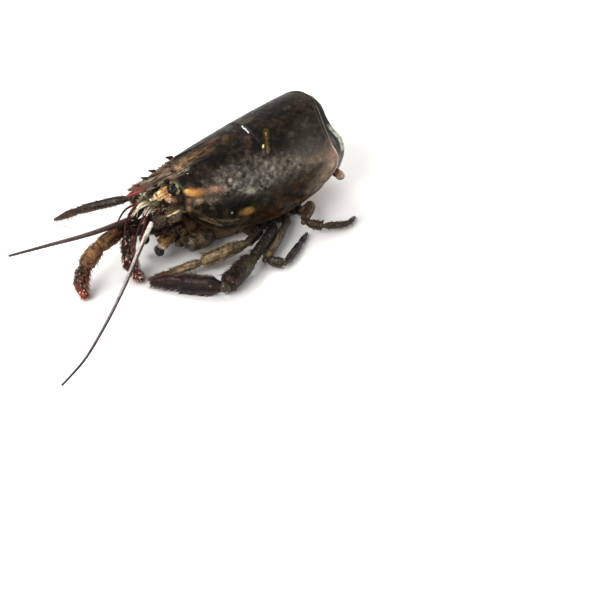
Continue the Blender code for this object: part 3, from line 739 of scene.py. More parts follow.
def shellSection(y, angle, inset=0.0):
    # x and height on the shell's section at y; the angle, in radians, is 0 at the midline
    halfWidth, top, widest, low = np.moveaxis(alongTable(carapace["sections"], y), -1, 0)
    arch = np.maximum(np.cos(angle), 0) ** (1 + carapace["peak"] * fade(y, 14, 44))
    above = widest + (top - inset - widest) * arch
    below = widest - (widest - low) * np.cos(angle) / math.cos(math.radians(carapace["wrap"]))
    return (halfWidth - inset) * np.sin(angle), np.where(angle <= math.pi / 2, above, below)


def surfaceNormals(grid, outwardFrom):
    # unit normals of a grid of points, turned away from the axis at that height and x 0
    cross = unit(np.cross(np.gradient(grid, axis=1), np.gradient(grid, axis=0)))
    away = grid - np.stack([0 * grid[..., 0], grid[..., 1], np.full(grid.shape[:2], outwardFrom)], -1)
    return cross * np.sign(np.sum(cross * away, axis=-1, keepdims=True))


def stamp(field, row, column, reach, height, spacing):
    # adds a small round bump to a field of heights
    cells = int(math.ceil(reach * 2 / spacing))
    rows = slice(max(row - cells, 0), row + cells + 1)
    columns = slice(max(column - cells, 0), column + cells + 1)
    r = np.arange(field.shape[0])[rows, None] - row
    c = np.arange(field.shape[1])[None, columns] - column
    field[rows, columns] += height * np.exp(-(r**2 + c**2) * (spacing / reach) ** 2)


def shellRelief(grid, y, down, front, groove, rear):
    # everything that stands out of the back's smooth form or is sunk into it
    degrees = down * carapace["wrap"]
    fromGroove, fromFront, fromRear = y - groove, y - front, rear - y
    upper = fade(-degrees, -48, -8)
    relief = -carapace["grooveDepth"] * bump(fromGroove, 0, 0.62) * (0.2 + 0.8 * upper)
    relief += 0.12 * bump(fromGroove, 1.7, 0.9) + 0.12 * bump(fromGroove, -1.7, 0.9)
    hollow = bump(fromRear / carapace["rimWidth"], 1, 0.25) * fade(1 - down, 0.02, 0.3)
    relief -= carapace["rimDepth"] * hollow
    relief += 0.16 * fade(-fromRear, -1.7, -0.7) * fade(1 - down, 0.02, 0.2)
    relief += 0.34 * fade(down, 0.952, 0.975) - 0.3 * bump(down, 0.938, 0.012)
    relief += 0.28 * fade(fromFront, 1.5, 0.7) * fade(degrees, 24, 34)
    ridge = alongTable(rostrum["sections"], y)[..., 0] * 0.86
    relief += 0.75 * bump(np.abs(grid[..., 0]), ridge, 0.9) * fade(-y, 8, 34)
    relief -= 0.5 * bump(grid[..., 0], 0, 3.4) * fade(-y, 18, 38)
    relief -= 0.07 * bump(grid[..., 0], 0, 0.3) * fade(fromGroove, 1, 4)  # seam along the back
    relief -= 0.55 * bump(y, -23, 5) * bump(degrees, 84, 11)  # hollow of the cheek
    relief += 0.5 * bump(y, -31, 6) * bump(degrees, 70, 9)
    relief -= 0.3 * bump(y + degrees * 0.16, 7, 1.6) * fade(degrees, 60, 80)
    relief += 0.22 * clouds(grid, 16, 3) + 0.07 * clouds(grid, 3.2, 5)
    random, spacing = np.random.default_rng(11), carapace["spacing"]
    for _ in range(carapace["tubercles"]):
        share, side = random.random() ** 1.5, random.uniform(-1, 1)
        row, column = int(share * (grid.shape[0] - 1)), int((side + 1) / 2 * (grid.shape[1] - 1))
        cheek = 0.35 + 0.65 * float(fade(abs(side), 0.45, 0.7)) * (1 - share)
        stamp(relief, row, column, random.uniform(0.4, 0.8), random.uniform(0.1, 0.3) * cheek, spacing)
    for _ in range(carapace["tubercles"] // 3):
        row, column = random.integers(0, grid.shape[0]), random.integers(0, grid.shape[1])
        stamp(relief, row, column, random.uniform(0.5, 0.9), -random.uniform(0.04, 0.1), spacing)
    return relief


def patchiness(table, alongY, around):
    # the sum of soft oval patches; each row ends with its amount
    return sum(row[-1] * bump(alongY, row[0], row[2]) * bump(around, row[1], row[3]) for row in table)


def strokeMask(y, degrees, points, width, wobble):
    # how much of a stroke through the points lies on each place
    nearest = np.full(y.shape, 99.0)
    for (y0, turn0), (y1, turn1) in zip(points, points[1:]):
        across, around = y - y0, (degrees - turn0) * carapace["perDegree"]
        stepAcross, stepAround = y1 - y0, (turn1 - turn0) * carapace["perDegree"]
        share = np.clip((across * stepAcross + around * stepAround) / (stepAcross**2 + stepAround**2), 0, 1)
        nearest = np.minimum(nearest, np.hypot(across - share * stepAcross, around - share * stepAround))
    return fade(-nearest + wobble, -width, -width * 0.3)


def paintShell(grid, y, down, side, rear, front):
    degrees = down * carapace["wrap"]
    drift, turn = clouds(grid, 9, 21), clouds(grid, 8, 31)
    ragged, fray = clouds(grid, 2.6, 25), clouds(grid, 1.3, 27, 2)
    alongY, around = y + 2.6 * drift + 1.2 * ragged, degrees + 4 * turn + 3 * ragged
    paint = clouded(grid, carapace["ground"], 5, 41, -0.35, 0.45)
    for colour, middle, at, reach, wide, strength in carapace["washes"]:
        mask = strength * bump(alongY, middle, reach) * bump(around, at, wide)
        paint = laidOver(paint, colour, 1.15 * mask)
    calm = np.clip(patchiness(carapace["calms"], y, degrees), 0, 1)
    mottle = 1.25 * clouds(grid, 1.8, 51, 2) + 0.7 * clouds(grid, 3.6, 53, 2) + 0.45 * clouds(grid, 8, 55, 2)
    paint = paint * 1.12 * np.exp((1 - 0.72 * calm) * mottle)[..., None]
    crowding = patchiness(carapace["inks"], alongY, around)
    blots = clouds(grid, 3.8, 71, 3) + crowding
    paint = laidOver(paint, carapace["ink"], 0.8 * fade(blots, 0.12, 0.42))
    spots = clouds(grid, 1.9, 81, 2) + 0.7 * crowding
    paint = laidOver(paint, carapace["ink"], 0.7 * fade(spots, 0.3, 0.6))
    # painted sheen on the flanks: pale specks, with the shell between them darkened
    sheenAmount = patchiness(carapace["sheenPatches"], alongY, around)
    specks = clouds(grid, 1.7, 91, 3)
    paint = laidOver(paint, carapace["sheenTones"][0], 0.55 * fade(specks, 0.02, 0.4) * sheenAmount)
    paint = laidOver(paint, carapace["sheenTones"][1], 0.55 * fade(-specks, 0.05, 0.35) * sheenAmount)
    streaks = clouds(grid * np.array([1, 0.3, 1]), 1.5, 61)
    crest = bump(degrees, 5, 10) * fade(-y, 6, 24) * (0.6 + 0.8 * ragged)
    paint = laidOver(paint, carapace["crest"][0], 0.45 * fade(streaks, 0.1, 0.6) * crest)
    paint = laidOver(paint, carapace["crest"][1], 0.7 * fade(-streaks, 0.1, 0.5) * crest)
    signed = degrees * side
    for colour, width, strength, *points in carapace["strokes"]:
        wobble = 0.35 * width * (ragged + fray)
        paint = laidOver(paint, colour, strength * strokeMask(y, signed, points, width * 0.7, wobble))
    for colour, middle, at, reach, wide, strength in carapace["marks"]:
        where = ((y + 0.6 * drift - middle) / reach) ** 2 + ((signed + 1.6 * turn - at) / wide) ** 2
        paint = laidOver(paint, colour, strength * fade(1.9 - where + 0.5 * ragged, 0, 1.9))
    return paintEdges(paint, y, down, degrees, rear, front, ragged)


def paintEdges(paint, y, down, degrees, rear, front, ragged):
    # the shell's rear, lower and front edges
    fromRear, fromFront = rear - y, y - front
    flank, back = fade(degrees, 58, 76), fade(degrees, 14, 30)
    overBack, line, downFlank, hollow = carapace["rim"]
    paint = laidOver(paint, overBack, 0.6 * fade(-fromRear, -0.9, -0.3) * back * (1 - flank))
    paint = laidOver(paint, line, 0.3 * bump(fromRear, 2.0, 0.3) * back * (1 - flank))
    low = flank * fade(-degrees, -112, -98)
    paint = laidOver(paint, downFlank, 0.75 * fade(-fromRear, -1.3, -0.3) * low)
    upper = fade(degrees, 10, 25) * (1 - fade(degrees, 24, 60))
    # painted shade in the hollow before the rear rim
    paint = laidOver(paint, hollow, 0.35 * bump(fromRear, 2.4, 0.5) * upper)
    lower, before, socket = carapace["lip"]
    paint = laidOver(paint, lower, 0.7 * fade(down, 0.955, 0.985))
    paint = laidOver(paint, before, 0.6 * fade(-fromFront, -1.6, -0.4) * fade(degrees, 26, 36))
    speckled = bump(degrees, 47, 14) * (0.6 + 0.8 * ragged)
    return laidOver(paint, socket, 0.8 * fade(-fromFront, -2.6, -0.6) * speckled)


def buildCarapace():
    shape = newShape()
    down = np.abs(np.linspace(-1, 1, carapace["columns"]))
    side = np.sign(np.linspace(-1, 1, carapace["columns"]))
    front, groove, rear = np.moveaxis(alongTable(carapace["edges"], down), -1, 0)
    share = np.linspace(0, 1, carapace["rows"])[:, None]
    y = front + (rear - front) * share
    down, front, groove, rear = (np.broadcast_to(v, y.shape) for v in (down, front, groove, rear))
    x, z = shellSection(y, down * math.radians(carapace["wrap"]))
    grid = np.stack([x * side, y, z], -1)
    normals = surfaceNormals(grid, carapace["axis"])
    relief = shellRelief(grid, y, down, front, groove, rear)
    paint = paintShell(grid, y, down, side, rear, front)
    outer = grid + normals * np.minimum(relief, 0.9)[..., None]
    closedSheet(shape, outer, normals, carapace["thickness"], paint, carapace["inside"])
    addRostrum(shape)
    addSpines(shape)
    makePiece("back_shell", shape, "shell", "shell_black_brown", "carapace")


rostrum = {
    "sections": (  # y, half width, height of the side ridges
        (-28, 7.2, 50.6), (-35, 7.4, 51.5), (-42, 6.8, 50.3), (-50, 5.4, 48.8),
        (-58, 3.6, 47.2), (-65, 1.6, 45.9), (-69, 0.35, 45.6),
    ),
    "tip": -69.2,
    "root": -26.0,
    "rows": 150,
    "columns": 72,
    # share of the way from the tip, and colour
    "colours": (
        (0, "#a98078"), (0.05, "#97504a"), (0.16, "#8a5248"), (0.26, "#6d5446"), (0.6, "#725c4c"),
        (1, "#544434"),
    ),
    # the pale grey streaks are painted highlights; the dark and red-brown ones are the rostrum's own
    "streaks": (("#b3aca0", 0.7, 7), ("#2b1d18", 0.85, 8), ("#6d4a3a", 0.6, 9)),  # colour, strength, seed
    "under": "#8a6a48",
    "ridge": "#a39a8a",
    # on the left: base, direction, length, radius and colour
    "spines": (
        ((5.4, -48.0, 48.9), (0.40, -1.0, 0.30), 3.8, 1.1, "#3a342c"),
        ((4.1, -54.0, 47.7), (0.38, -1.0, 0.30), 3.5, 1.0, "#3f3630"),
        ((2.8, -60.0, 46.6), (0.32, -1.0, 0.30), 3.2, 0.9, "#84443e"),
        ((8.4, -35.0, 50.3), (0.20, -1.0, 0.35), 4.0, 1.3, "#343228"),
        ((11.2, -40.6, 30.5), (0.25, -1.0, 0.15), 5.0, 1.5, "#6d6038"),
    ),
    "teeth": ("#4a3c34", "#8a7466"),  # the small teeth between the spines, from root to tip
}


def smoothLoop(corners, count):
    # a closed curve through the corners, as evenly spread points between them
    corners = np.array(corners, float)
    places = np.arange(count) * len(corners) / count
    k, s = places.astype(int), (places % 1)[:, None]
    before, here = corners[(k - 1) % len(corners)], corners[k]
    after, beyond = corners[(k + 1) % len(corners)], corners[(k + 2) % len(corners)]
    bend = 2 * before - 5 * here + 4 * after - beyond
    return here + 0.5 * s * (after - before + s * (bend + s * (3 * (here - after) + beyond - before)))


def addLoft(shape, rings, paint):
    # a closed part through rings of points, with a fan at each end
    count, columns = rings.shape[:2]
    colours = withEnds(np.broadcast_to(paint, rings.shape))
    addPart(shape, withEnds(rings), gridQuads(count, columns, closed=True), fans(count, columns), colours)


def addRostrum(shape):
    tip, root = rostrum["tip"], rostrum["root"]
    places = np.linspace(tip, root, rostrum["rows"])
    rings = []
    for y in places:
        halfWidth, ridge = alongTable(rostrum["sections"], y)
        halfWidth = max(halfWidth, 0.3)
        trough, edge, keel = 0.26 * halfWidth, 0.25 * halfWidth, 0.35 + 0.42 * halfWidth
        top = ((0, -trough), (0.35, -trough), (0.66, -0.5 * trough), (0.86, 0.1), (1, -edge))
        half = top + ((0.55, -0.8 * keel - edge), (0, -keel - edge))
        half = [(halfWidth * x, ridge + z) for x, z in half]
        loop = smoothLoop(half + [(-x, z) for x, z in half[-2:0:-1]], rostrum["columns"])
        rings.append([(x, y, z) for x, z in loop])
    rings = np.array(rings)
    normals = unit(rings - rings.mean(1, keepdims=True))
    rings = rings + normals * (0.14 * clouds(rings, 2.0, 8) + 0.1 * clouds(rings, 0.8, 9))[..., None]
    share = ((places - tip) / (root - tip))[:, None]
    ridge = alongTable(rostrum["sections"], places)
    crest = bump(np.abs(rings[..., 0]), ridge[:, :1] * 0.88, 0.7) * (rings[..., 2] > ridge[:, 1:] - 1.2)
    paint = blended(rostrum["colours"], share)
    paint = laidOver(paint, rostrum["ridge"], 0.7 * crest * fade(share, 0.1, 0.3))
    for tone, strength, seed in rostrum["streaks"]:
        drawn = clouds(rings * np.array([1, 0.1, 1]), 0.9, seed, 2)
        paint = laidOver(paint, tone, strength * fade(drawn, 0.12, 0.45) * fade(share, 0.06, 0.2))
    below = fade(ridge[:, 1:] - 1.6 - rings[..., 2], 0, 1.2)
    addLoft(shape, rings, laidOver(paint, rostrum["under"], below))


def addSpines(shape):
    for base, direction, length, radius, colour in rostrum["spines"]:
        tones = (linear(colour) * 0.55, linear(colour) * 1.4)
        for side in sides.values():
            root, heading = mirrored([base], side), mirrored(unit([direction]), side)
            addCones(shape, root, heading, (0, 0, 0.14), length, radius, tones, 14, 10, 0.75)
    random = np.random.default_rng(5)
    roots, headings = [], []
    for y in np.arange(-64, -33, 2.2):
        halfWidth, ridge = alongTable(rostrum["sections"], y)
        for side in sides.values():
            roots.append((side * halfWidth * 0.88, y + random.uniform(-0.6, 0.6), ridge - 0.1))
            headings.append((side * 0.45, -1, 0.55))
    tones = allLinear(rostrum["teeth"])
    lengths = random.uniform(0.5, 1.0, len(roots))
    addCones(shape, roots, headings, (0, 0, 0.1), lengths, 0.36, tones, corners=8, steps=4)


buildCarapace()
print("the back's shell is grown")


# The first ring of the tail and the raw meat at the cut

tailRing = {
    "front": 39.0,
    # degrees from the midline, y of the rear edge
    "edge": ((0, 52.8), (20, 52.4), (40, 51.0), (52, 51.8), (70, 55.6), (92, 56.0), (110, 54.4), (122, 53.8)),
    "thickness": 1.1,
    "rows": 65,
    "columns": 241,
    "follows": 50.0,  # y of the back's section that its form repeats
    "knob": ((20.8, 51.6, 20.8), (20.8, 55.8, 17.6), (20.0, 57.2, 14.6)),
    "knobSize": (5.6, 4.8),
    "knobTones": ((0, "#7a2f1c"), (0.2, "#8d6a4c"), (0.5, "#b3977a"), (0.85, "#9a7c60"), (1, "#3a281c")),
    "knobUnder": "#35261b",
    "tones": ("#1b1d16", "#33352a"),
    # pale rear flange: its own pale colour, partly painted highlight
    "rim": "#bfc0ae",
    # a near-black band across the ring: painted shadow
    "shadeLine": "#0b0a08",
    "mauve": "#5e4a42",
    "inside": "#a08672",
}


def buildTailRing():
    shape = newShape()
    share = np.linspace(0, 1, tailRing["rows"])[:, None]
    turn = np.linspace(-1, 1, tailRing["columns"])[None]
    angle = np.radians(100 + 22 * fade(share, 0.4, 0.8)) * np.abs(turn)
    rear = alongTable(tailRing["edge"], np.degrees(angle))[..., 0]
    inset = carapace["thickness"] + carapace["rimDepth"] + 0.55 + 0.7 * fade(share, 0.8, 1)
    x, z = shellSection(np.full(angle.shape, tailRing["follows"]), angle, inset)
    grid = np.stack([x * np.sign(turn), tailRing["front"] + (rear - tailRing["front"]) * share, z], -1)
    normals = surfaceNormals(grid, carapace["axis"])
    fromRear = rear - grid[..., 1]
    relief = -0.2 * bump(fromRear, 2.6, 0.6) + 0.12 * bump(fromRear, 0.8, 0.7) + 0.1 * clouds(grid, 4, 12)
    relief += 0.25 * bump(fromRear, 5.5, 1.6) * fade(np.degrees(angle), 20, 40)
    outer = grid + normals * relief[..., None]
    paint = clouded(grid, tailRing["tones"], 4, 14)
    turned = np.degrees(angle) + 4 * clouds(grid, 5, 15)
    low = fade(turned, 80, 92)
    flange = fade(-fromRear, -3.3, -2.2) * fade(turned, 42, 54) * (1 - low)
    soft = np.maximum(fade(fromRear, 4.6, 5.6), low) * fade(turned, 56, 70)
    paint = laidOver(paint, tailRing["mauve"], 0.85 * soft)
    # painted shadow: a near-black band across the ring
    shadeLine = bump(fromRear, 3.9 - 3.6 * low, 0.9) * fade(turned, 48, 60)
    paint = laidOver(paint, tailRing["shadeLine"], 0.95 * shadeLine)
    # the pale flange, partly painted highlight
    paint = laidOver(paint, tailRing["rim"], 0.9 * flange)
    closedSheet(shape, outer, normals, tailRing["thickness"], paint, tailRing["inside"])
    for side in sides.values():
        path, size = mirrored(tailRing["knob"], side), tailRing["knobSize"]
        paint = shadedBy(tailRing["knobTones"], 17, tailRing["knobUnder"])
        sweep(shape, path, profiles["round"], *size, paint, lumpy(0.16, 18), columns=36, step=0.25)
    makePiece("tail_ring_shell", shape, "ring", "ring_olive_black", "tail_ring")


def shadedBy(stops, seed, under=None, edges=0.0):
    # a painting function: stops along the limb, clouded, with another colour along its underside,
    # painted shade as ragged dark lines above, below and at both sides, and short dark streaks between them
    def paint(along, round_, grid):
        base = blended(stops, along) * (1 + 0.32 * clouds(grid, 2.6, seed))[..., None]
        fibres = clouds(np.stack([5 * along, 3 * np.cos(round_), 3 * np.sin(round_)], -1), 0.8, seed + 6, 2)
        streaks = 1 - 0.9 * edges * fade(fibres, 0.05, 0.4) + 0.4 * edges * fade(-fibres, 0.1, 0.5)
        base = base * streaks[..., None]
        # painted shade: ragged dark lines along the top, bottom and both sides of the limb
        keel = fade(np.abs(np.cos(2 * round_ + 0.5 * clouds(grid, 3, seed + 7))), 0.86, 0.99)
        base = base * (1 - edges * keel * fade(clouds(grid, 1.7, seed + 8), -0.5, 0.2))[..., None]
        if under:
            below = 0.25 * clouds(grid, 1.6, seed + 4) - np.sin(round_)
            base = laidOver(base, under, 0.75 * fade(below, 0.15, 0.8))
        return np.clip(base, 0.002, 0.9)
    return paint


def lumpy(height, seed, ridges=0, ridgeHeight=0.0, collar=0.0):
    # a relief function: soft lumps, lengthwise ridges and a raised collar at the far end
    def relief(along, round_, grid):
        total = height * (clouds(grid, 2.0, seed) + 0.5 * clouds(grid, 0.7, seed + 1))
        total = total + ridgeHeight * np.abs(np.cos(round_ * ridges / 2)) ** 6 * fade(along, 0.02, 0.2)
        return total + collar * (bump(along, 0.955, 0.022) - 0.7 * bump(along, 0.9, 0.022))
    return relief


def creases(grid, seed):
    # 1 in the bottom of a fold of torn skin, 0 between the folds
    folds = np.abs(clouds(grid, 5.4, seed, 2)) + 0.5 * np.abs(clouds(grid, 2.3, seed + 2, 2))
    return np.exp(-((folds / 0.22) ** 2))


def folded(height, seed):
    # a relief function: the deep uneven folds of torn joint skin
    def relief(along, round_, grid):
        return height * (0.35 - 0.8 * creases(grid, seed) + 0.35 * clouds(grid, 1.0, seed + 5))
    return relief


def creasedBy(stops, seed, light="#a3927a"):
    # a painting function: as shadedBy, with painted shade in the bottom of the folds and light bits of skin
    # between them
    def paint(along, round_, grid):
        base = blended(stops, along) * np.exp(0.6 * clouds(grid, 1.6, seed + 9))[..., None]
        base = laidOver(base, light, 0.6 * fade(clouds(grid, 1.3, seed + 11), 0.3, 0.6))
        # painted shade in the bottom of the folds
        return laidOver(base, "#17110c", 0.85 * creases(grid, seed))
    return paint


def tornBy(stops, seed):
    # a painting function: strips of loose skin with dark gaps and pale ends
    def paint(along, round_, grid):
        base = blended(stops, along) * np.exp(0.5 * clouds(grid, 1.2, seed))[..., None]
        base = laidOver(base, "#efe2c6", 0.6 * fade(clouds(grid, 0.9, seed + 1), 0.25, 0.5))
        return laidOver(base, "#3f2a14", 0.85 * fade(-clouds(grid, 1.1, seed + 2, 2), 0.28, 0.48))
    return paint


def mottled(colour, seed, light="#cdbd9c"):
    # a painting function for a ball of soft tissue
    def paint(points):
        base = linear(colour) * np.exp(0.55 * clouds(points, 1.1, seed))[..., None]
        base = laidOver(base, light, 0.45 * fade(clouds(points, 0.9, seed + 1), 0.25, 0.55))
        return laidOver(base, "#1d1710", 0.7 * fade(-clouds(points, 1.4, seed + 2), 0.3, 0.6))
    return paint


profiles = {
    "merus": (
        (0, 0.55), (0.05, 0.72), (0.2, 0.8), (0.3, 0.72), (0.5, 0.95), (0.8, 1), (0.95, 0.94), (1, 0.7),
    ),
    "carpus": ((0, 0.58), (0.15, 0.8), (0.5, 1), (0.85, 1), (0.96, 0.98), (1, 0.76)),
    "palm": ((0, 0.6), (0.1, 0.85), (0.3, 1), (0.52, 0.95), (0.6, 0.62), (0.85, 0.38), (1, 0.1)),
    "finger": ((0, 0.9), (0.2, 1), (0.6, 0.8), (0.9, 0.4), (1, 0.16)),
    "propodus": (
        (0, 0.62), (0.08, 0.9), (0.3, 1), (0.56, 0.86), (0.62, 0.7), (0.68, 0.78), (0.86, 0.6), (1, 0.2),
    ),
    "round": ((0, 0.5), (0.1, 0.86), (0.4, 1), (0.75, 0.95), (0.95, 0.75), (1, 0.45)),
    "taper": ((0, 1), (0.25, 0.82), (0.5, 0.66), (0.75, 0.52), (1, 0.4)),
    "pointed": ((0, 0.7), (0.15, 1), (0.5, 0.85), (0.85, 0.45), (1, 0.12)),
    "thigh": ((0, 0.5), (0.1, 0.86), (0.4, 1), (0.75, 0.95), (1, 0.8)),
    "hip": ((0, 0.5), (0.1, 0.86), (0.4, 1), (0.75, 0.95), (0.92, 0.98), (1, 0.8)),
    "plate": ((0, 0.78), (0.15, 0.92), (0.5, 1), (0.85, 0.96), (1, 0.8)),
    "claw": ((0, 0.8), (0.15, 1), (0.35, 1), (0.6, 0.85), (0.85, 0.58), (1, 0.25)),
}

meat = {
    "front": -26.0,
    "rear": 51.6,
    "floor": 14.4,  # height of its lower side
    "columns": 144,
    "rows": (75, 8, 44),  # inside the shell, at its rear edge, and over the cut
    "tones": ("#c9a58e", "#dfc4b0"),
    "sinew": "#f0dccb",
    "shadeLine": "#8a5f52",  # painted shade along the sunken lines between the bundles of muscle
    "middle": (0, 50.5),  # of the gut, across and up
    # from the gut's middle: reach, strength and colour
    "gland": (5.5, 0.7, "#6f6a3a"),  # olive liver paste round the gut
    "gut": (1.7, 0.95, "#3c2a1c"),
}


def muscleGaps(points):
    # 1 along the lines that part the cut muscle into its bundles
    x = np.abs(points[..., 0]) + 0.7 * clouds(points, 3.5, 83)
    z = points[..., 2] + 0.7 * clouds(points, 4.5, 85)
    outer = bump(x, 11.5 + 3 * np.cos((z - 34) * 0.11), 0.5) * fade(z, 20, 24) * fade(-z, -50, -44)
    lower = bump(z, 24 - 0.18 * x, 0.5) * fade(-x, -14, -11)
    slant = bump(z, 36 + 0.5 * x, 0.45) * fade(x, 2, 4) * fade(-x, -12, -10)
    return np.clip(bump(x, 0.2, 0.6) * fade(-z, -46, -42) + outer + lower + slant, 0, 1)


def buildMeat():
    shape = newShape()
    turns = np.linspace(-math.pi, math.pi, meat["columns"] + 1)[:-1]
    angle = np.abs(turns) / math.pi * math.radians(carapace["wrap"])
    insideRows, edgeRows, cutRows = meat["rows"]
    inside, atEdge = (meat["front"], 48, insideRows), (48.5, meat["rear"] - 0.7, edgeRows)
    rings = []
    for y in np.concatenate([np.linspace(*inside), np.linspace(*atEdge)]):
        inset = carapace["thickness"] + 1.25 + 1.45 * fade(y, 32, 38) + 1.2 * fade(y, 44, 50)
        x, z = shellSection(np.full(len(turns), min(y, tailRing["follows"])), angle, inset)
        ring = np.stack([x * np.sign(turns), np.full(len(turns), y), np.maximum(z, meat["floor"])], -1)
        rings.append(ring)
    middle, edge = np.array([0, meat["rear"], 35.0]), rings[-1]
    for share in np.linspace(0, 1, cutRows + 2)[1:-1]:
        ring = edge + (middle - edge) * share
        lobes = 0.35 * bump(np.abs(ring[:, 0]), 10, 6) - 0.9 * bump(ring[:, 0], 0, 1.6)
        swirl = 0.3 * np.sin(ring[:, 2] * 1.3 + 1.5 * np.sin(ring[:, 0] * 0.45)) - 1.2 * muscleGaps(ring)
        flat = meat["rear"] - 0.7 * (1 - fade(share, 0, 0.12))
        ring[:, 1] = flat + 0.55 * (lobes + swirl) * fade(share, 0, 0.2)
        rings.append(ring)
    rings = np.array(rings)
    rings[..., 1] += 0.35 * clouds(rings, 3.0, 71) * (rings[..., 1] > 50.5)
    paint = clouded(rings * np.array([1, 1, 0.35]), meat["tones"], 3.0, 73, -0.3, 0.4)
    sinews = clouds(rings * np.array([1, 0.6, 0.5]), 1.4, 77)
    paint = laidOver(paint, meat["sinew"], 0.7 * fade(sinews, 0.2, 0.5))
    # painted shade along the sunken lines between the bundles
    gaps = muscleGaps(rings) * (rings[..., 1] > meat["rear"] - 2)
    paint = laidOver(paint, meat["shadeLine"], 0.75 * gaps)
    offset = np.linalg.norm(rings[..., [0, 2]] - np.array(meat["middle"]), axis=-1)
    offset = offset + 0.8 * clouds(rings, 1.5, 79)
    for reach, strength, tone in (meat["gland"], meat["gut"]):
        paint = laidOver(paint, tone, strength * np.exp(-((offset / reach) ** 4)))
    addLoft(shape, rings, paint)
    makePiece("raw_meat", shape, "flesh", "raw_flesh", "meat")


buildTailRing()
buildMeat()
print("the tail ring and the meat are in")


# Legs

thinLegHair = ("#4a382c", "#a89684")
legs = {
    # joints from the body outward; widths and colours of the three parts; bristles on each, and their
    # colour where it isn't thinLegHair
    "leg_2_left": {
        "joints": (
            (18, -3, 4.4), (26, -5, 8.6), (33.5, -18.5, 11.8), (26.8, -43.2, 7.4), (20.4, -62.8, 4.4),
            (15.8, -70.4, 2.0),
        ),
        "widths": (5.4, 7.6, 4.6),
        "colours": (
            ((0, "#2b251c"), (1, "#3f3829")),
            ((0, "#574c3a"), (0.3, "#8b7a60"), (1, "#a08d70")),
            ((0, "#8e7b61"), (0.4, "#a89376"), (0.6, "#806650"), (0.76, "#5f362a"), (1, "#451c15")),
        ),
        "under": "#978468",
        "bristles": (60, 280, 420),
        "hair": ("#4a3426", "#c9b494"),
    },
    "leg_3_left": {
        "joints": ((18.2, 7, 4.4), (29.5, 1, 9.6), (43, -22.2, 9.2), (51, -46.8, 7), (20, -72.4, 3.4)),
        "widths": (6.6, 10.4, 10.4),
        "colours": (
            ((0, "#221d16"), (1, "#302a1e")),
            ((0, "#3a3424"), (0.35, "#4a4530"), (0.7, "#2f2219"), (1, "#3a261e")),
            ((0, "#3a2820"), (0.3, "#2f1e19"), (0.6, "#261714"), (1, "#3a201c")),
        ),
        "under": "#40292a",
        "bristles": (160, 760, 1100),
        "hair": ("#1c1310", "#705751"),
    },
    "leg_4_left": {
        "joints": (
            (18.2, 17.5, 4.2), (26, 12.5, 5.4), (43, -14.6, 4.4), (51.6, -8, 3.8), (42.5, 9, 3),
            (35, 21, 1.6),
        ),
        "widths": (6.2, 5.4, 4.4),
        "colours": (
            ((0, "#302a20"), (0.5, "#6a5d49"), (1, "#857660")),
            ((0, "#51463a"), (1, "#463b34")),
            ((0, "#4a3f3a"), (1, "#2b2120")),
        ),
        "under": "#6d6254",
        "bristles": (40, 60, 160),
    },
    "leg_5_left": {
        "joints": (
            (17, 28.5, 4.2), (22.5, 32.5, 7.6), (33.5, 19.5, 8.2), (41, 27, 6.4), (44.5, 41, 3.8),
            (40, 51, 1.6),
        ),
        "widths": (5.8, 5.0, 3.8),
        "colours": (
            ((0, "#54402f"), (1, "#65503c")),
            ((0, "#54422f"), (1, "#4a3a2c")),
            ((0, "#54443a"), (1, "#38261c")),
        ),
        "under": "#7d6850",
        "bristles": (40, 60, 150),
    },
    "leg_2_right": {
        "joints": (
            (-18, -3, 4.4), (-25.5, -6, 7), (-22.5, -35, 14), (-28.6, -50, 21.4), (-45.5, -69.5, 13.6),
            (-62.4, -79.2, 1.6),
        ),
        "widths": (6.0, 5.8, 5.0),
        "colours": (
            ((0, "#3d3024"), (1, "#4d3e2e")),
            ((0, "#4a3c30"), (1, "#4d3b30")),
            ((0, "#443830"), (0.5, "#45382f"), (0.75, "#4a3428"), (1, "#4f3426")),
        ),
        "under": "#6a5444",
        "bristles": (60, 60, 200),
        "hair": ("#3a2a22", "#8d7868"),
    },
    "leg_3_right": {
        "joints": ((-18.2, 7, 4.4), (-30, 5, 7), (-37, -16, 8.5), (-36.5, -27.5, 7), (-22, -53, 2.6)),
        "widths": (6.0, 5.6, 5.0),
        "colours": (
            ((0, "#332b24"), (1, "#3d3228")),
            ((0, "#3a3026"), (1, "#3a2c22")),
            ((0, "#3a2b24"), (1, "#2c1c18")),
        ),
        "under": "#54463a",
        "bristles": (60, 120, 220),
        "hair": ("#33221c", "#7a5a4a"),
    },
    "leg_4_right": {
        "joints": (
            (-18.2, 17.5, 4.4), (-31, 18, 6), (-46, -4, 7), (-48.5, -16.5, 6), (-44, -34.5, 4),
            (-37, -45, 1.6),
        ),
        "widths": (5.8, 5.2, 4.0),
        "colours": (
            ((0, "#463a30"), (1, "#54473b")),
            ((0, "#4d4136"), (1, "#463a32")),
            ((0, "#4a3f38"), (1, "#33251d")),
        ),
        "under": "#76654f",
        "bristles": (40, 60, 160),
    },
    "leg_5_right": {
        "joints": (
            (-17, 28.5, 4.4), (-27.5, 31, 6), (-34, 48, 9), (-31, 59, 7), (-23, 70, 4),
            (-11.5, 73, 1.6),
        ),
        "widths": (5.6, 4.8, 3.8),
        "colours": (
            ((0, "#4d3b2c"), (1, "#5b4938")),
            ((0, "#4f3f2e"), (1, "#463628")),
            ((0, "#4f4034"), (1, "#38261c")),
        ),
        "under": "#7d6850",
        "bristles": (40, 60, 150),
    },
}


def bendTrims(joints, index, size):
    # how far a part keeps back from its two joints, where its neighbour turns away
    trims = []
    for joint in (index, index + 1):
        trim = 0.0
        if 0 < joint < len(joints) - 1:
            before, after = (unit(joints[joint + k] - joints[joint + k - 1]) for k in (0, 1))
            trim = 0.1 + 0.3 * size * math.tan(math.acos(np.clip(before @ after, -1, 1)) / 2)
        trims.append(trim)
    return trims


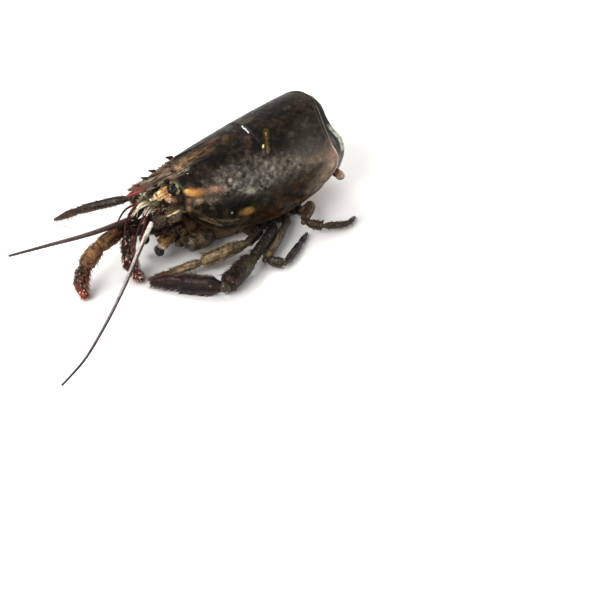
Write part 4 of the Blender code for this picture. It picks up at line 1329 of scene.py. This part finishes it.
def bristleRow(hair, limb, count, lengths, tones, seed, edges=None, thick=0.09, lean=0.9):
    # tufts of bristles that lean towards the limb's tip, along its edges or all round it
    random = np.random.default_rng(seed)
    tufts = max(1, count // 4)
    shares = np.repeat(random.uniform(0.04, 0.97, tufts), 4)
    if edges is None:
        degrees = np.repeat(random.uniform(0, 360, tufts), 4)
    else:
        degrees = np.repeat(random.choice(edges, tufts) + random.normal(0, 9, tufts), 4)
    roots, normals, tangents = rootsOn(limb, shares, degrees)
    size = len(shares)
    headings = normals + tangents * lean + random.normal(0, 0.28, (size, 3))
    bends = tangents * 0.3 + random.normal(0, 0.12, (size, 3)) - np.array([0, 0, 0.1])
    long = random.uniform(*lengths, size)
    roots = roots - normals * 0.1 + random.normal(0, 0.12, (size, 3))
    addCones(hair, roots, headings, bends, long, thick * random.uniform(0.7, 1.3, size), tones)


def spineRow(shape, limb, shares, degrees, length, radius, colour, lean=0.8):
    # hard thorns on a limb
    roots, normals, tangents = rootsOn(limb, np.array(shares), np.array(degrees))
    roots, headings = roots - normals * 0.15, normals + tangents * lean
    tones = (linear(colour) * 0.8, linear(colour) * 1.7)
    addCones(shape, roots, headings, tangents * 0.12, length, radius, tones, corners=10, steps=6)


def growLeg(name, look, skins, hair):
    shape, seed = newShape(), sum(map(ord, name))
    joints = [np.array(joint, float) for joint in look["joints"]]
    widths, tones = look["widths"], allLinear(look.get("hair", thinLegHair))
    outward = np.array([np.sign(joints[0][0]), 0, 0])
    upper = [joints[0] + outward * 0.3, joints[0] + outward * 3.0, *joints[1:3]]
    start, end = joints[3:5]
    reach, lift = end - start, np.array([0, 0, widths[2] * 0.3])
    pincer = len(joints) == 5
    hand = (joints[3:], "propodus", 0.85, 36)
    if pincer:
        hand = ((start, start + reach * 0.5, end), "palm", 0.7, 44)
    # path, profile, width for its height, columns; lumps, ridges, height of ridges and of collar; trims
    plans = (
        (upper, "merus", 0.8, 40, (0.18, 4, 0.22, 0.3), (0, bendTrims(joints, 1, widths[0])[1])),
        (joints[2:4], "carpus", 0.85, 44, (0.24, 5, 0.25, 0.3), bendTrims(joints, 2, widths[1])),
        (*hand, (0.18, 4, 0.22, 0.0), (bendTrims(joints, 3, widths[2])[0], 0.4)),
    )
    parts = []
    for k, (path, kind, flat, columns, (lumps, *ridges), trims) in enumerate(plans):
        paint = shadedBy(look["colours"][k], seed + 20 * k, look["under"], 0.55)
        relief, size = lumpy(lumps, seed + 20 * k, *ridges), (widths[k] * flat, widths[k])
        parts.append(sweep(shape, path, profiles[kind], *size, paint, relief, trims, columns))
    pale, dark = look["colours"][2][0][1], look["colours"][2][-1][1]
    if pincer:
        finger = (start + reach * 0.44 + lift * 0.7, start + reach * 0.75 + lift, end + lift * 0.5)
        paint, relief = shadedBy(((0, pale), (1, dark)), seed + 60), lumpy(0.07, seed + 60)
        size = (widths[2] * 0.38, widths[2] * 0.4)
        parts.append(sweep(shape, finger, profiles["finger"], *size, paint, relief, (0, 0.4), 24))
    counts = (*look["bristles"], look["bristles"][2] // 3)
    for part, count, width in zip(parts, counts, (*widths, 3)):
        lengths, thick = (0.7, 0.9 + 0.24 * width), 0.05 + 0.011 * width
        bristleRow(hair, part, count, lengths, tones, seed + count, (90, 265, 60, 300), thick)
        bristleRow(hair, part, count // 3, (0.4, 1.0), tones, seed + count + 1)
    spineRow(shape, parts[0], (0.9, 0.93), (70, 110), 1.6, 0.45, dark)
    spineRow(shape, parts[1], (0.35, 0.6, 0.9, 0.94), (80, 100, 75, 110), 1.5, 0.42, dark)
    tone = linear(look["colours"][1][0][1]) * 0.8
    for k, width in ((0, widths[0] * 0.7), (2, min(widths[:2])), (3, min(widths[1:]))):
        middle = joints[k] + outward * 0.4 * (k == 0)
        addBall(skins, middle, [width * 0.3] * 3, tone, 16, 22, 0.12, k)
    slotName = "leg_olive" if "leg_2" in name else "leg_dark"
    nodes = [f"{name}_{part}" for part in ("merus", "carpus", "hand")]
    makePiece(name + "_shell", shape, "limb", slotName, *nodes)


skins, legHair = newShape(), newShape()
for name, look in legs.items():
    growLeg(name, look, skins, legHair)
makePiece("leg_bristles", legHair, "horn", "leg_dark")
print("the legs are grown")


# Belly plate, face and mouth

belly = {
    # half of its section, across and up; then y and the share of that section there
    "outline": ((8, 0), (12, 2.5), (15, 7), (17, 13.5), (0, 13.8)),
    "sizes": ((-27.4, 0.5), (-18, 0.8), (-8, 1), (10, 1), (30, 0.96), (38, 0.8)),
    "grooves": (-9.5, 2.0, 12.2, 23.0, 33.0),  # y, between the legs
    "ends": (-27.4, 38),
    "rows": 130,
    "columns": 96,
    "tones": ("#6a4f36", "#94785a"),
    "hipSize": (7.8, 7.4),
    "hipTones": ((0, "#7a6044"), (0.6, "#5a4430"), (1, "#3f3024")),
}


def buildBelly():
    shape = newShape()
    half = belly["outline"]
    loop = smoothLoop([*half, *((-x, z) for x, z in half[-2::-1])], belly["columns"])
    stations = np.linspace(*belly["ends"], belly["rows"])
    x = loop[:, 0] * alongTable(belly["sizes"], stations)
    rings = np.stack([x, *np.broadcast_arrays(stations[:, None], loop[:, 1])], -1)
    middle = np.array([0, 0, 8.0])
    outward = unit((rings - middle) * np.array([1, 0, 1]))
    groove = sum(bump(rings[..., 1], y, 0.9) for y in belly["grooves"])
    relief = -0.9 * groove + 0.25 * clouds(rings, 2.6, 91) + 0.1 * clouds(rings, 0.9, 92)
    relief -= 0.8 * bump(rings[..., 0], 0, 1.2) * (rings[..., 2] < 6)
    rings = rings + outward * np.minimum(relief, 0.2)[..., None]
    rings[..., 2] = np.maximum(rings[..., 2], 0.0)
    paint = clouded(rings, belly["tones"], 4, 93)
    # darker in the grooves between the legs: painted shade
    addLoft(shape, rings, paint * (1 - 0.6 * np.clip(groove, 0, 1))[..., None])
    for index, look in enumerate(legs.values()):
        root = np.array(look["joints"][0])
        outwards = np.array([np.sign(root[0]), 0, 0])
        path = (root - outwards * 8, root - outwards * 0.2)
        paint, relief = shadedBy(belly["hipTones"], 100 + index), lumpy(0.2, 100 + index, collar=0.3)
        sweep(shape, path, profiles["hip"], *belly["hipSize"], paint, relief, columns=48, step=0.25)
    makePiece("belly_plate", shape, "limb", "belly_brown", "sternum")


face = {
    # y, half width, half height and middle height of its ovals
    "ovals": (
        (-26.35, 10.4, 10.6, 32.6), (-40, 8.2, 9.6, 32.8), (-45, 6.8, 7.6, 33.2),
        (-48.5, 4.8, 5.0, 34.0),
    ),
    "ends": (-26.4, -48.4),
    "rows": 70,
    "columns": 110,
    "tones": ("#4a3826", "#8d7250", "#c2a67c"),
    # middle, radii and colour of each soft lump below the eye and between the feelers, on the left
    "lumps": (
        ((8.0, -48.8, 39.2), (2.5, 2.1, 1.9), "#c09880"),  # pinkish lobe below the eye
        ((9.8, -47.2, 39.2), (1.6, 1.8, 1.6), "#8d6f58"),
        ((6.2, -47.6, 43.0), (2.4, 2.2, 2.6), "#a87a44"),
        ((2.6, -52.0, 39.4), (2.8, 3.0, 2.6), "#5f5a40"),
        ((4.8, -55.2, 37.6), (2.1, 2.3, 1.6), "#5f5d46"),  # mottled olive mass at the feelers' roots
        ((3.2, -57.4, 37.8), (1.7, 2.0, 1.3), "#7c775c"),
        ((1.4, -55.2, 38.6), (2.0, 2.4, 1.7), "#5a563e"),
        ((10.4, -49.4, 35.9), (1.7, 2.6, 1.3), "#1f2a1c"),  # green-black base of the left feeler
        ((9.0, -52.4, 35.0), (1.6, 2.2, 1.3), "#33241f"),
        ((8.2, -54.8, 34.4), (1.4, 1.9, 1.2), "#4f2c30"),
        ((6.4, -52.6, 34.6), (2.4, 2.8, 2.2), "#4a3a2a"),
        ((5.4, -54.4, 32.4), (2.6, 2.8, 2.4), "#33281d"),
    ),
    # path, thickness and colours of each strip of skin from the eye down to the small feelers
    "strips": (
        (((6.6, -47.8, 45.8), (6.4, -50.2, 45.0), (5.0, -52.6, 43.4), (3.6, -55.4, 41.2)), 2.4,
         ((0, "#a87a40"), (0.3, "#cc9e62"), (0.6, "#d8ba8c"), (1, "#cfc0a4"))),
        (((7.6, -48.4, 43.8), (6.4, -51.0, 42.6), (4.6, -53.6, 40.6), (2.6, -57.2, 39.4)), 2.0,
         ((0, "#c08f55"), (0.4, "#d3ad80"), (0.7, "#d0b694"), (1, "#e2d8c2"))),
        (((8.4, -48.6, 41.8), (6.8, -50.6, 40.8), (5.4, -52.4, 39.6), (4.4, -54.6, 38.8)), 1.8,
         ((0, "#b58858"), (0.5, "#d0a884"), (1, "#b3a486"))),
        (((9.0, -46.8, 44.0), (8.6, -48.0, 42.4), (8.4, -49.0, 40.8)), 1.8,
         ((0, "#8f6a42"), (0.6, "#c0946a"), (1, "#c49c7a"))),
    ),
    "grains": 90,
    "grainTones": ("#c9b184", "#8d7c54", "#d6c9a4", "#4a4430", "#a06a4a", "#2b2a1c"),
}


def buildFace():
    shape = newShape()
    stations = np.linspace(*face["ends"], face["rows"])
    ovals = alongTable(face["ovals"], stations)
    turns = np.arange(face["columns"]) * 2 * math.pi / face["columns"]
    x = ovals[:, :1] * np.cos(turns)
    z = ovals[:, 2:] + ovals[:, 1:2] * np.sin(turns)
    rings = np.stack([x, np.broadcast_to(stations[:, None], x.shape), z], -1)
    outward = unit((rings - np.array([0, 0, 33.0])) * np.array([1, 0, 1]))
    relief = 0.9 * clouds(rings, 4.5, 111) + 0.5 * clouds(rings, 1.6, 112)
    rings = rings + outward * np.clip(relief, -1.2, 0.5)[..., None]
    paint = clouded(rings, face["tones"], 3, 113, -0.5, 0.5)
    bright = 0.7 * fade(clouds(rings, 1.3, 114), 0.15, 0.5)
    addLoft(shape, rings, laidOver(paint, face["tones"][2], bright))
    random = np.random.default_rng(23)
    for side in sides.values():
        for middle, radii, colour in face["lumps"]:
            paint, seed = mottled(colour, int(random.integers(999))), int(random.integers(999))
            addBall(shape, mirrored(middle, side), radii, paint, 24, 34, 0.9, seed, 1.7)
        for path, thick, tones in face["strips"]:
            paint, relief = tornBy(tones, int(random.integers(999))), lumpy(0.5, int(random.integers(999)))
            path, size = mirrored(path, side), (thick, thick)
            sweep(shape, path, profiles["round"], *size, paint, relief, columns=24, step=0.22)
    grainTones = allLinear(face["grainTones"])
    for _ in range(face["grains"]):  # grains of loose skin and grit all over the lumps
        middle, radii = face["lumps"][random.integers(len(face["lumps"]))][:2]
        spot = unit(random.normal(0, 1, 3)) * np.array(radii) * 0.98
        size = random.uniform(0.18, 0.42)
        for side in sides.values():
            tone = grainTones[random.integers(len(grainTones))]
            addBall(shape, mirrored(middle + spot, side), (size, size, size * 0.8), tone, 7, 9, 0.1, 5)
    makePiece("face_shell", shape, "feeler", "face_brown_cream", "face")


mouth = {
    "jaw": ((0, -34, 14.2), (8.4, 5.9, 5.2)),  # middle and radii
    "jawSide": ((4.4, -36.6, 12), (3.7, 4.1, 4.5)),
    "tones": ("#64492f", "#9c7c56"),
    # middle, radii and colour of the folds of soft skin between the jaws and the small palps, on the left
    "folds": (
        ((5.2, -42.5, 15.8), (3.2, 3.6, 2.8), "#4d3c2a"),
        ((5.4, -47.5, 16.2), (2.7, 3.2, 2.2), "#543e2a"),
        ((4.6, -52.0, 16.6), (2.4, 3.0, 2.0), "#432a1f"),
        ((8.6, -41.6, 15.0), (2.0, 2.4, 2.8), "#4f4330"),
        ((10.2, -42.8, 12.2), (1.5, 2.6, 2.4), "#5c4e3a"),
        ((8.8, -44.4, 10.0), (1.3, 2.8, 2.0), "#665842"),
        ((6.2, -54.6, 15.0), (1.5, 1.8, 1.0), "#8a6c48"),
        ((4.0, -48.8, 12.4), (2.6, 3.4, 2.4), "#3f3122"),
        ((7.8, -49.4, 13.4), (1.2, 2.6, 1.6), "#6a5138"),
        ((5.4, -51.8, 13.6), (1.8, 2.8, 2.0), "#4a3524"),
    ),
    "foldLight": "#8f7a5c",
    "palps": ((4.6, -37, 13.5), (6.4, -46, 13.6), (7.6, -54, 13), (6.8, -57.4, 8.6)),
    "palpEnd": ((6.9, -56.6, 9.4), (3.1, 2.5, 2.9)),
    "palpSize": (4.2, 4.8),
    "palpTones": (
        (0, "#3a2e20"), (0.55, "#5a442c"), (0.68, "#836242"), (0.78, "#ab9068"), (0.83, "#cfc0a6"),
        (0.87, "#5c4540"), (1, "#2f2328"),
    ),
    "palpEndTones": ("#3a2c2e", "#9c8880"),
    "hair": ("#3a2620", "#cdbba4"),
}


def buildMouth(hair):
    shape = newShape()
    random = np.random.default_rng(3)
    brown, pale = allLinear(mouth["tones"])
    addBall(shape, *mouth["jaw"], brown, 40, 60, 0.7, 121)
    for side in sides.values():
        middle, radii = mouth["jawSide"]
        addBall(shape, mirrored(middle, side), radii, pale * 0.7, 30, 44, 0.45, 122)
        for k in range(3):  # overlapping leaf-like mouth parts in front
            middle = (side * (2.4 + 2.2 * k), -40.4 + 0.9 * k, 15.2 - 1.4 * k)
            addBall(shape, middle, (1.7, 1.2, 3.0), pale * random.uniform(0.6, 1.0), 24, 30, 0.3, 123 + k)
        for middle, radii, colour in mouth["folds"]:
            seed = int(abs(middle[1]) * 7)
            paint = mottled(colour, seed, mouth["foldLight"])
            addBall(shape, mirrored(middle, side), radii, paint, 28, 40, 1.5, seed, 1.8)
        path, size = mirrored(mouth["palps"], side), mouth["palpSize"]
        paint, relief = shadedBy(mouth["palpTones"], 131), lumpy(0.16, 130, ridges=3, ridgeHeight=0.25)
        palp = sweep(shape, path, profiles["round"], *size, paint, relief, columns=44, step=0.3)
        middle, radii = mouth["palpEnd"]
        dark, light = mouth["palpEndTones"]
        addBall(shape, mirrored(middle, side), radii, mottled(dark, 133, light), 30, 44, 0.45, 134)
        tones = allLinear(mouth["hair"])
        bristleRow(hair, palp, 220, (1.0, 2.4), tones, 132 + side, (60, 120, 240, 300))
    makePiece("mouth_parts", shape, "limb", "mouth_brown", "mouthparts")


eyes = {
    "left": ((6.6, -46.2, 42.6), (10.3, -48.4, 46.2)),
    "right": ((-6.4, -46.4, 39.6), (-10.4, -49.6, 40.4)),
    "size": 2.6,  # the ball's radius
    "stalkSize": (4.2, 4.2),
    "stalk": ((0, "#c99a62"), (0.5, "#c9a070"), (0.85, "#8f8c72"), (1, "#4a4638")),
    "cup": "#77745c",  # the rim that the ball sits in
    "cornea": "#0c0c10",
    # from the eye's middle: place, radii and colour of each speckled lump of the rim behind it
    "rim": (
        ((1.4, 2.5, -1.6), (1.1, 1.2, 1.7), "#8a8262"), ((0.9, 2.6, 1.2), (1.2, 1.1, 1.5), "#9a9474"),
        ((-0.8, 2.4, 2.6), (1.5, 1.1, 0.9), "#5c5840"), ((-2.4, 1.6, 1.6), (1.0, 1.2, 1.2), "#8f6e44"),
    ),
}


def buildEyes():
    for name, side in sides.items():
        root, tip = (np.array(point) for point in eyes[name])
        stalk, ball, ahead = newShape(), newShape(), unit(tip - root)
        paint, relief = shadedBy(eyes["stalk"], 141), lumpy(0.12, 142)
        size, cupSize = eyes["stalkSize"], [eyes["size"] * 0.97] * 3
        sweep(stalk, (root, tip), profiles["round"], *size, paint, relief, columns=44, step=0.2)
        addBall(stalk, tip - ahead * 0.8, cupSize, linear(eyes["cup"]), 30, 40, 0.12, 143)
        for place, radii, colour in eyes["rim"]:
            middle = tip + mirrored(place, side)
            addBall(stalk, middle, radii, mottled(colour, 145), 22, 32, 0.6, 146, 1.4)
        makePiece("eye_stalk_shell_" + name, stalk, "feeler", "stalk_orange_cream", "eye_stalk_" + name)
        addBall(ball, tip + ahead * 0.3, [eyes["size"]] * 3, linear(eyes["cornea"]), 36, 52)
        makePiece("eye_ball_" + name, ball, "eye", "eye_black", "eye_" + name)


buildBelly()
buildFace()
mouthHair = newShape()
buildMouth(mouthHair)
buildEyes()
print("belly, face, mouth and eyes are in")


# Feelers

feelers = {
    "left": {
        "stalk": ((12.6, -46, 32), (12.2, -54, 32.2), (10.6, -60.6, 31.4)),
        "whip": (
            (10.1, -62.1, 31.0), (23.5, -80.5, 26.4), (35.9, -98.3, 20.2), (47.2, -118.1, 12.5),
            (53.7, -133.1, 6.3), (57.5, -148.4, 1.5),
        ),
        "inner": ((4, -60, 35), (8, -67.5, 31.5), (10.2, -72, 26), (10.9, -73.6, 20)),
        "outer": ((4.4, -59, 35), (10.6, -66.5, 32.4), (12.6, -70.6, 26.5), (13.2, -72.2, 21.5)),
        "thick": 2.6,
        # pale towards the root: the whip's own cream colour, partly painted highlight
        "whipTones": (
            (0, "#ece4d8"), (0.09, "#e0d6c8"), (0.17, "#cfc4ba"), (0.32, "#bbaead"), (0.6, "#8f8286"),
            (1, "#5c4f54"),
        ),
        "shadowSide": 0.9,
    },
    "right": {
        "stalk": ((-10.5, -46, 31), (-8.4, -55, 29.4), (-5.8, -63.6, 26.8)),
        "whip": ((-5.5, -64.8, 26.4), (-10.7, -86.7, 24), (-19.3, -105.8, 21), (-28, -124.9, 18)),
        "inner": ((-4, -60, 35), (-1, -68, 33), (4.5, -75, 28), (7.6, -78, 21)),
        "outer": ((-4.4, -59, 35), (-5.5, -67, 33.5), (-3.5, -73.5, 29.5), (-0.5, -77, 24.5)),
        "thick": 3.1,
        "whipTones": ((0, "#523c37"), (0.3, "#614d4b"), (1, "#4d3d40")),
        "shadowSide": 0.3,
    },
    "footSize": (7.0, 6.4),
    "footTones": ((0, "#3d3826"), (0.5, "#5c543c"), (1, "#3d3020")),
    # the foot's underside: painted light bounced up from the floor
    "footBounceLight": "#8f6c4a",
    "stalkSize": (5.2, 5.0),
    "stalkTones": ((0, "#3a3424"), (0.5, "#4a4230"), (0.8, "#4f3a2b"), (1, "#3f2a22")),
    "thorns": ("#8a7c54", "#4f3a2c"),
    "hair": ("#4a2c1e", "#c0a88c"),
    "scale": ((13.4, -44.6, 37.2), (15.4, -51.0, 36.8), (15.8, -58.3, 36.0)),
    "scaleSize": (5.4, 1.6),
    "scaleTones": ((0, "#2f2a1d"), (0.5, "#4f4630"), (0.8, "#5c4c34"), (1, "#3a2a1c")),
    # the outer edge's pale band: partly its own colour, partly painted highlight
    "scaleEdge": "#d8c49c",
    "stem": ((3.4, -49.6, 36.4), (4.0, -60.5, 35.0)),  # of the small feelers
    "stemWidth": 3.2,
    "stemTones": ((0, "#8f8360"), (0.6, "#8a8264"), (1, "#7a5a44")),
    "threadWidth": 1.5,
    "threadTones": ((0, "#74382a"), (0.3, "#5a1d15"), (1, "#3d120e")),
    "fringe": ("#a8997c", "#efe8d6"),
    # x and height of a strand's root, then of its end
    "strands": (
        (1.2, 38.4, -0.6, 34.2), (2.9, 38.0, -3.0, 29.6), (-2.1, 35.6, 0.5, 29.5), (4.5, 37.0, 6.1, 30.7),
        (-4.9, 34.8, -7.6, 29.2), (6.2, 36.4, 9.1, 32.4), (0.5, 35.5, -5.0, 29.9), (6.6, 35.3, 3.6, 31.4),
    ),
}


def ringed(pitch, height, length):
    # a relief function: the rings of a whip-like feeler
    def relief(along, round_, grid):
        return height * (0.5 + 0.5 * np.cos(along * length / pitch * 2 * math.pi)) ** 2 - height * 0.5
    return relief


def edgedBy(stops, edge, side, seed):
    # a painting function: as shadedBy, with a pale band along the outer edge, partly its own colour and
    # partly painted highlight
    def paint(along, round_, grid):
        band = fade(-np.cos(round_) * side, 0.4, 0.8) * fade(along, 0.3, 0.5) * fade(-along, -0.95, -0.8)
        return laidOver(shadedBy(stops, seed)(along, round_, grid), edge, 0.85 * band)
    return paint


def halfShadowed(stops, seed, strength):
    # a painting function: as shadedBy, with painted shade along one side, except near the root
    def paint(along, round_, grid):
        # painted shade along one side of the whip
        half = fade(-np.cos(round_) + 0.2 * clouds(grid, 3, seed), 0.25, 0.7) * fade(along, 0.04, 0.16)
        return laidOver(shadedBy(stops, seed)(along, round_, grid), "#1f181b", strength * half)
    return paint


def lengthOf(path):
    return float(np.sum(np.linalg.norm(np.diff(np.array(path, float), axis=0), axis=1)))


def buildFeelers(hair):
    evenTaper = tuple((k / 9, 1 - 0.6 * k / 9) for k in range(10))
    tones = allLinear(feelers["hair"])
    for name, side in sides.items():
        look, shape = feelers[name], newShape()
        path, size = look["stalk"][:2], feelers["footSize"]
        # lighter underside: painted light bounced up from the floor
        paint = shadedBy(feelers["footTones"], 151, feelers["footBounceLight"])
        relief = lumpy(0.25, 152, ridges=3, ridgeHeight=0.4, collar=0.35)
        foot = sweep(shape, path, profiles["round"], *size, paint, relief, columns=48, step=0.3)
        path, size = look["stalk"][1:], feelers["stalkSize"]
        paint = shadedBy(feelers["stalkTones"], 153)
        relief = lumpy(0.15, 154, ridges=3, ridgeHeight=0.3, collar=0.35)
        knee = sweep(shape, path, profiles["carpus"], *size, paint, relief, columns=44, step=0.3)
        spineRow(shape, foot, (0.7, 0.85, 0.5), (60, 20, 130), 2.2, 0.6, feelers["thorns"][0])
        spineRow(shape, knee, (0.4, 0.8), (70, 110), 1.4, 0.45, feelers["thorns"][1])
        bristleRow(hair, foot, 130, (0.8, 2.0), tones, 155 + side)
        bristleRow(hair, knee, 90, (0.8, 1.8), tones, 157 + side)
        makePiece("antenna_base_shell_" + name, shape, "feeler", "feeler_stalk_olive", "antenna_base_" + name)
        shape, thick = newShape(), look["thick"]
        relief = ringed(1.0, 0.12, lengthOf(look["whip"]))
        paint = halfShadowed(look["whipTones"], 161, look["shadowSide"])
        sweep(shape, look["whip"], evenTaper, thick, thick, paint, relief, columns=18, step=0.2)
        makePiece("antenna_whip_shell_" + name, shape, "feeler", "whip_purple_brown", "antenna_whip_" + name)
        shape, path, size = newShape(), mirrored(feelers["scale"], side), feelers["scaleSize"]
        relief = lumpy(0.08, 164, ridges=2, ridgeHeight=0.2)
        paint = edgedBy(feelers["scaleTones"], feelers["scaleEdge"], side, 163)
        blade = sweep(shape, path, profiles["pointed"], *size, paint, relief, columns=44, step=0.25)
        bristleRow(hair, blade, 120, (1.0, 2.2), tones, 165 + side, (0, 180))
        pieceName = "antenna_scale_shell_" + name
        makePiece(pieceName, shape, "feeler", "feeler_stalk_olive", "antenna_scale_" + name)
        shape, path, thick = newShape(), mirrored(feelers["stem"], side), feelers["stemWidth"]
        paint, relief = shadedBy(feelers["stemTones"], 167), lumpy(0.14, 168, collar=0.3)
        sweep(shape, path, profiles["round"], thick, thick, paint, relief, columns=36, step=0.25)
        thick = feelers["threadWidth"]
        for route in ("inner", "outer"):
            relief = ringed(0.9, 0.08, lengthOf(look[route]))
            paint = shadedBy(feelers["threadTones"], 169)
            sweep(shape, look[route], profiles["taper"], thick, thick, paint, relief, columns=16, step=0.18)
        makePiece("antennule_shell_" + name, shape, "feeler", "antennule_red", "antennule_" + name)


def buildFringe():
    # the cream blades that hang in a fan before the mouth
    shape = newShape()
    random = np.random.default_rng(17)
    tones = allLinear(feelers["fringe"])
    for x, high, endX, endHigh in feelers["strands"]:
        for k in range(2):
            root = np.array([x + random.normal(0, 0.6), -58.5 + random.uniform(0, 2), high])
            end = np.array([
                endX + random.normal(0, 1.2), -67 + random.uniform(0, 3), endHigh + random.normal(0, 1.2),
            ])
            length = np.linalg.norm(end - root)
            bend = np.array([random.normal(0, 0.12), 0.3, -0.45])
            size = random.uniform(0.38, 0.6)
            heading = (end - root) / length - bend
            addCones(shape, [root], [heading], [bend], length, size, tones, 9, 12, 0.3)
    makePiece("mouth_fringe", shape, "feeler", "antennule_red")


buildFeelers(mouthHair)
buildFringe()
print("the feelers are in")


# The two long mouth limbs and the stubs of the claw arms

mouthLimbs = {
    # joints, with a bend in the last part; widths and colours of the four parts; bristles on each
    "left": {
        "joints": (
            (4, -42.4, 19), (1.6, -69.8, 25), (4.8, -75.2, 15), (9.2, -75.4, 7.4), (12, -74.8, 4.6),
            (14.7, -73.4, 2.4),
        ),
        "widths": (6.8, 8.4, 8.2, 6.0),
        "colours": (
            ((0, "#2a1d13"), (1, "#22160d")),
            ((0, "#24170d"), (1, "#301b10")),
            ((0, "#331c11"), (1, "#3f2018")),
            ((0, "#46221a"), (1, "#66342a")),
        ),
        "under": None,
        "hair": ("#2b120c", "#b98c7c"),
        "bristles": (100, 200, 260, 300),
        "thorns": "#8a5a4c",
        "paintedGlints": (0, 34, 60, 60),  # how many short thorns on each part are painted pale: painted highlights
    },
    "right": {
        "joints": (
            (-4, -42.4, 19), (-6.8, -70.5, 20.6), (-4.2, -86, 19.4), (-2, -96.8, 12.8),
            (2.2, -102.4, 7.2), (8.6, -104, 2.2),
        ),
        "widths": (7.4, 8.8, 9.8, 8.6),
        "colours": (
            ((0, "#2b1d14"), (1, "#3a2414")),
            ((0, "#3f2d1c"), (0.5, "#74583a"), (1, "#826545")),
            ((0, "#7a5d40"), (0.6, "#8b6c49"), (1, "#735638")),
            ((0, "#634d34"), (0.3, "#4a3424"), (0.66, "#5f3020"), (1, "#954422")),
        ),
        "under": "#5f4020",
        "hair": ("#4a1c12", "#cf9484"),
        "bristles": (40, 60, 120, 380),
        "thorns": "#7a3a24",
        "paintedGlints": (0, 0, 10, 46),
    },
}


def growMouthLimb(name, look, hair):
    shape, joints = newShape(), [np.array(joint, float) for joint in look["joints"]]
    tones = allLinear(look["hair"])
    for k, kind in enumerate(("thigh", "plate", "plate", "claw")):
        width, seed = look["widths"][k], 171 + 9 * k + len(name)
        relief = lumpy(0.26, seed, ridges=4, ridgeHeight=0.22, collar=0.1 * (k < 3))
        paint = shadedBy(look["colours"][k], seed, look["under"] if k else None, 0.75)
        trims = [0.3 * trim for trim in bendTrims(joints, k, width)]
        path = joints[k : k + 2]
        if kind == "claw":
            path, trims = joints[k:], (trims[0], 0)
        limb = sweep(shape, path, profiles[kind], width * 0.8, width, paint, relief, trims, 44, 0.35)
        count = look["bristles"][k]
        bristleRow(hair, limb, count, (1.0, 2.8), tones, seed, (150, 180, 210, 120), 0.13, 0.8)
        bristleRow(hair, limb, count // 3, (0.7, 2.0), tones, seed + 2, (330, 0, 30, 270), 0.11, 0.9)
        bristleRow(hair, limb, count // 4, (0.5, 1.2), tones, seed + 1)
        shares, degrees = np.linspace(0.15, 0.92, 7), np.linspace(150, 200, 7)
        spineRow(shape, limb, shares, degrees, 1.3, 0.4, look["thorns"], 0.4)
        random = np.random.default_rng(seed + 3)
        places = random.uniform((0.05, 0), (0.88, 360), (look["paintedGlints"][k], 2))
        lengths = random.uniform(0.5, 1.6, len(places))
        # short thorns painted pale: painted highlights
        spineRow(shape, limb, places[:, 0], places[:, 1], lengths, 0.32, "#cdb0a6", 1.4)
    nodes = [f"maxilliped_{name}_{part}" for part in ("merus", "carpus", "propodus", "dactyl")]
    makePiece("mouth_limb_" + name, shape, "limb", "mouth_limb_red_brown", *nodes)


stub = {
    "root": (12.6, -27, 9),
    "end": (14.4, -42, 11.6),
    "size": (9.2, 8.8),
    "plugSize": (8.4, 8.0),
    "profile": ((0, 0.7), (0.2, 0.95), (0.8, 1), (1, 0.96)),
    "plug": ((0, 0.9), (0.6, 0.85), (1, 0.5)),
    "tones": ((0, "#43362a"), (0.5, "#5c4c3a"), (0.85, "#6f5f49"), (1, "#4d3f2e")),
    "flesh": ((0, "#7a6752"), (0.6, "#6a5844"), (1, "#4d4033")),
    "thorns": "#54402c",
    "hair": ("#4a3020", "#a88c70"),
}


def buildStubs(hair):
    tones = allLinear(stub["hair"])
    for name, side in sides.items():
        root, end = (mirrored(stub[key], side) for key in ("root", "end"))
        arm, plug, size = newShape(), newShape(), stub["size"]
        paint, relief = creasedBy(stub["tones"], 181 + side), folded(1.1, 181 + side)
        limb = sweep(
            arm, (root, end), stub["profile"], *size, paint, relief, columns=72, step=0.25, dome=0.18
        )
        spineRow(arm, limb, (0.3, 0.6, 0.9, 0.75), (60, 100, 140, 30), 1.6, 0.6, stub["thorns"])
        bristleRow(hair, limb, 90, (0.8, 1.8), tones, 185 + side)
        makePiece("claw_stub_shell_" + name, arm, "limb", "stub_grey_brown", "claw_stub_" + name)
        ahead, size = unit(end - root), stub["plugSize"]
        path = (end - ahead * 0.6, end + ahead * 2.2)
        paint, relief = creasedBy(stub["flesh"], 187 + side), folded(1.0, 187 + side)
        sweep(plug, path, stub["plug"], *size, paint, relief, columns=52, step=0.2)
        makePiece("claw_stub_flesh_" + name, plug, "skin", "raw_flesh", "claw_stub_meat_" + name)


for name in sides:
    growMouthLimb(name, mouthLimbs[name], mouthHair)
buildStubs(mouthHair)
makePiece("joint_skins", skins, "skin", "belly_brown")
makePiece("mouth_bristles", mouthHair, "horn", "mouth_limb_red_brown")
print("the mouth limbs and the stubs are in")
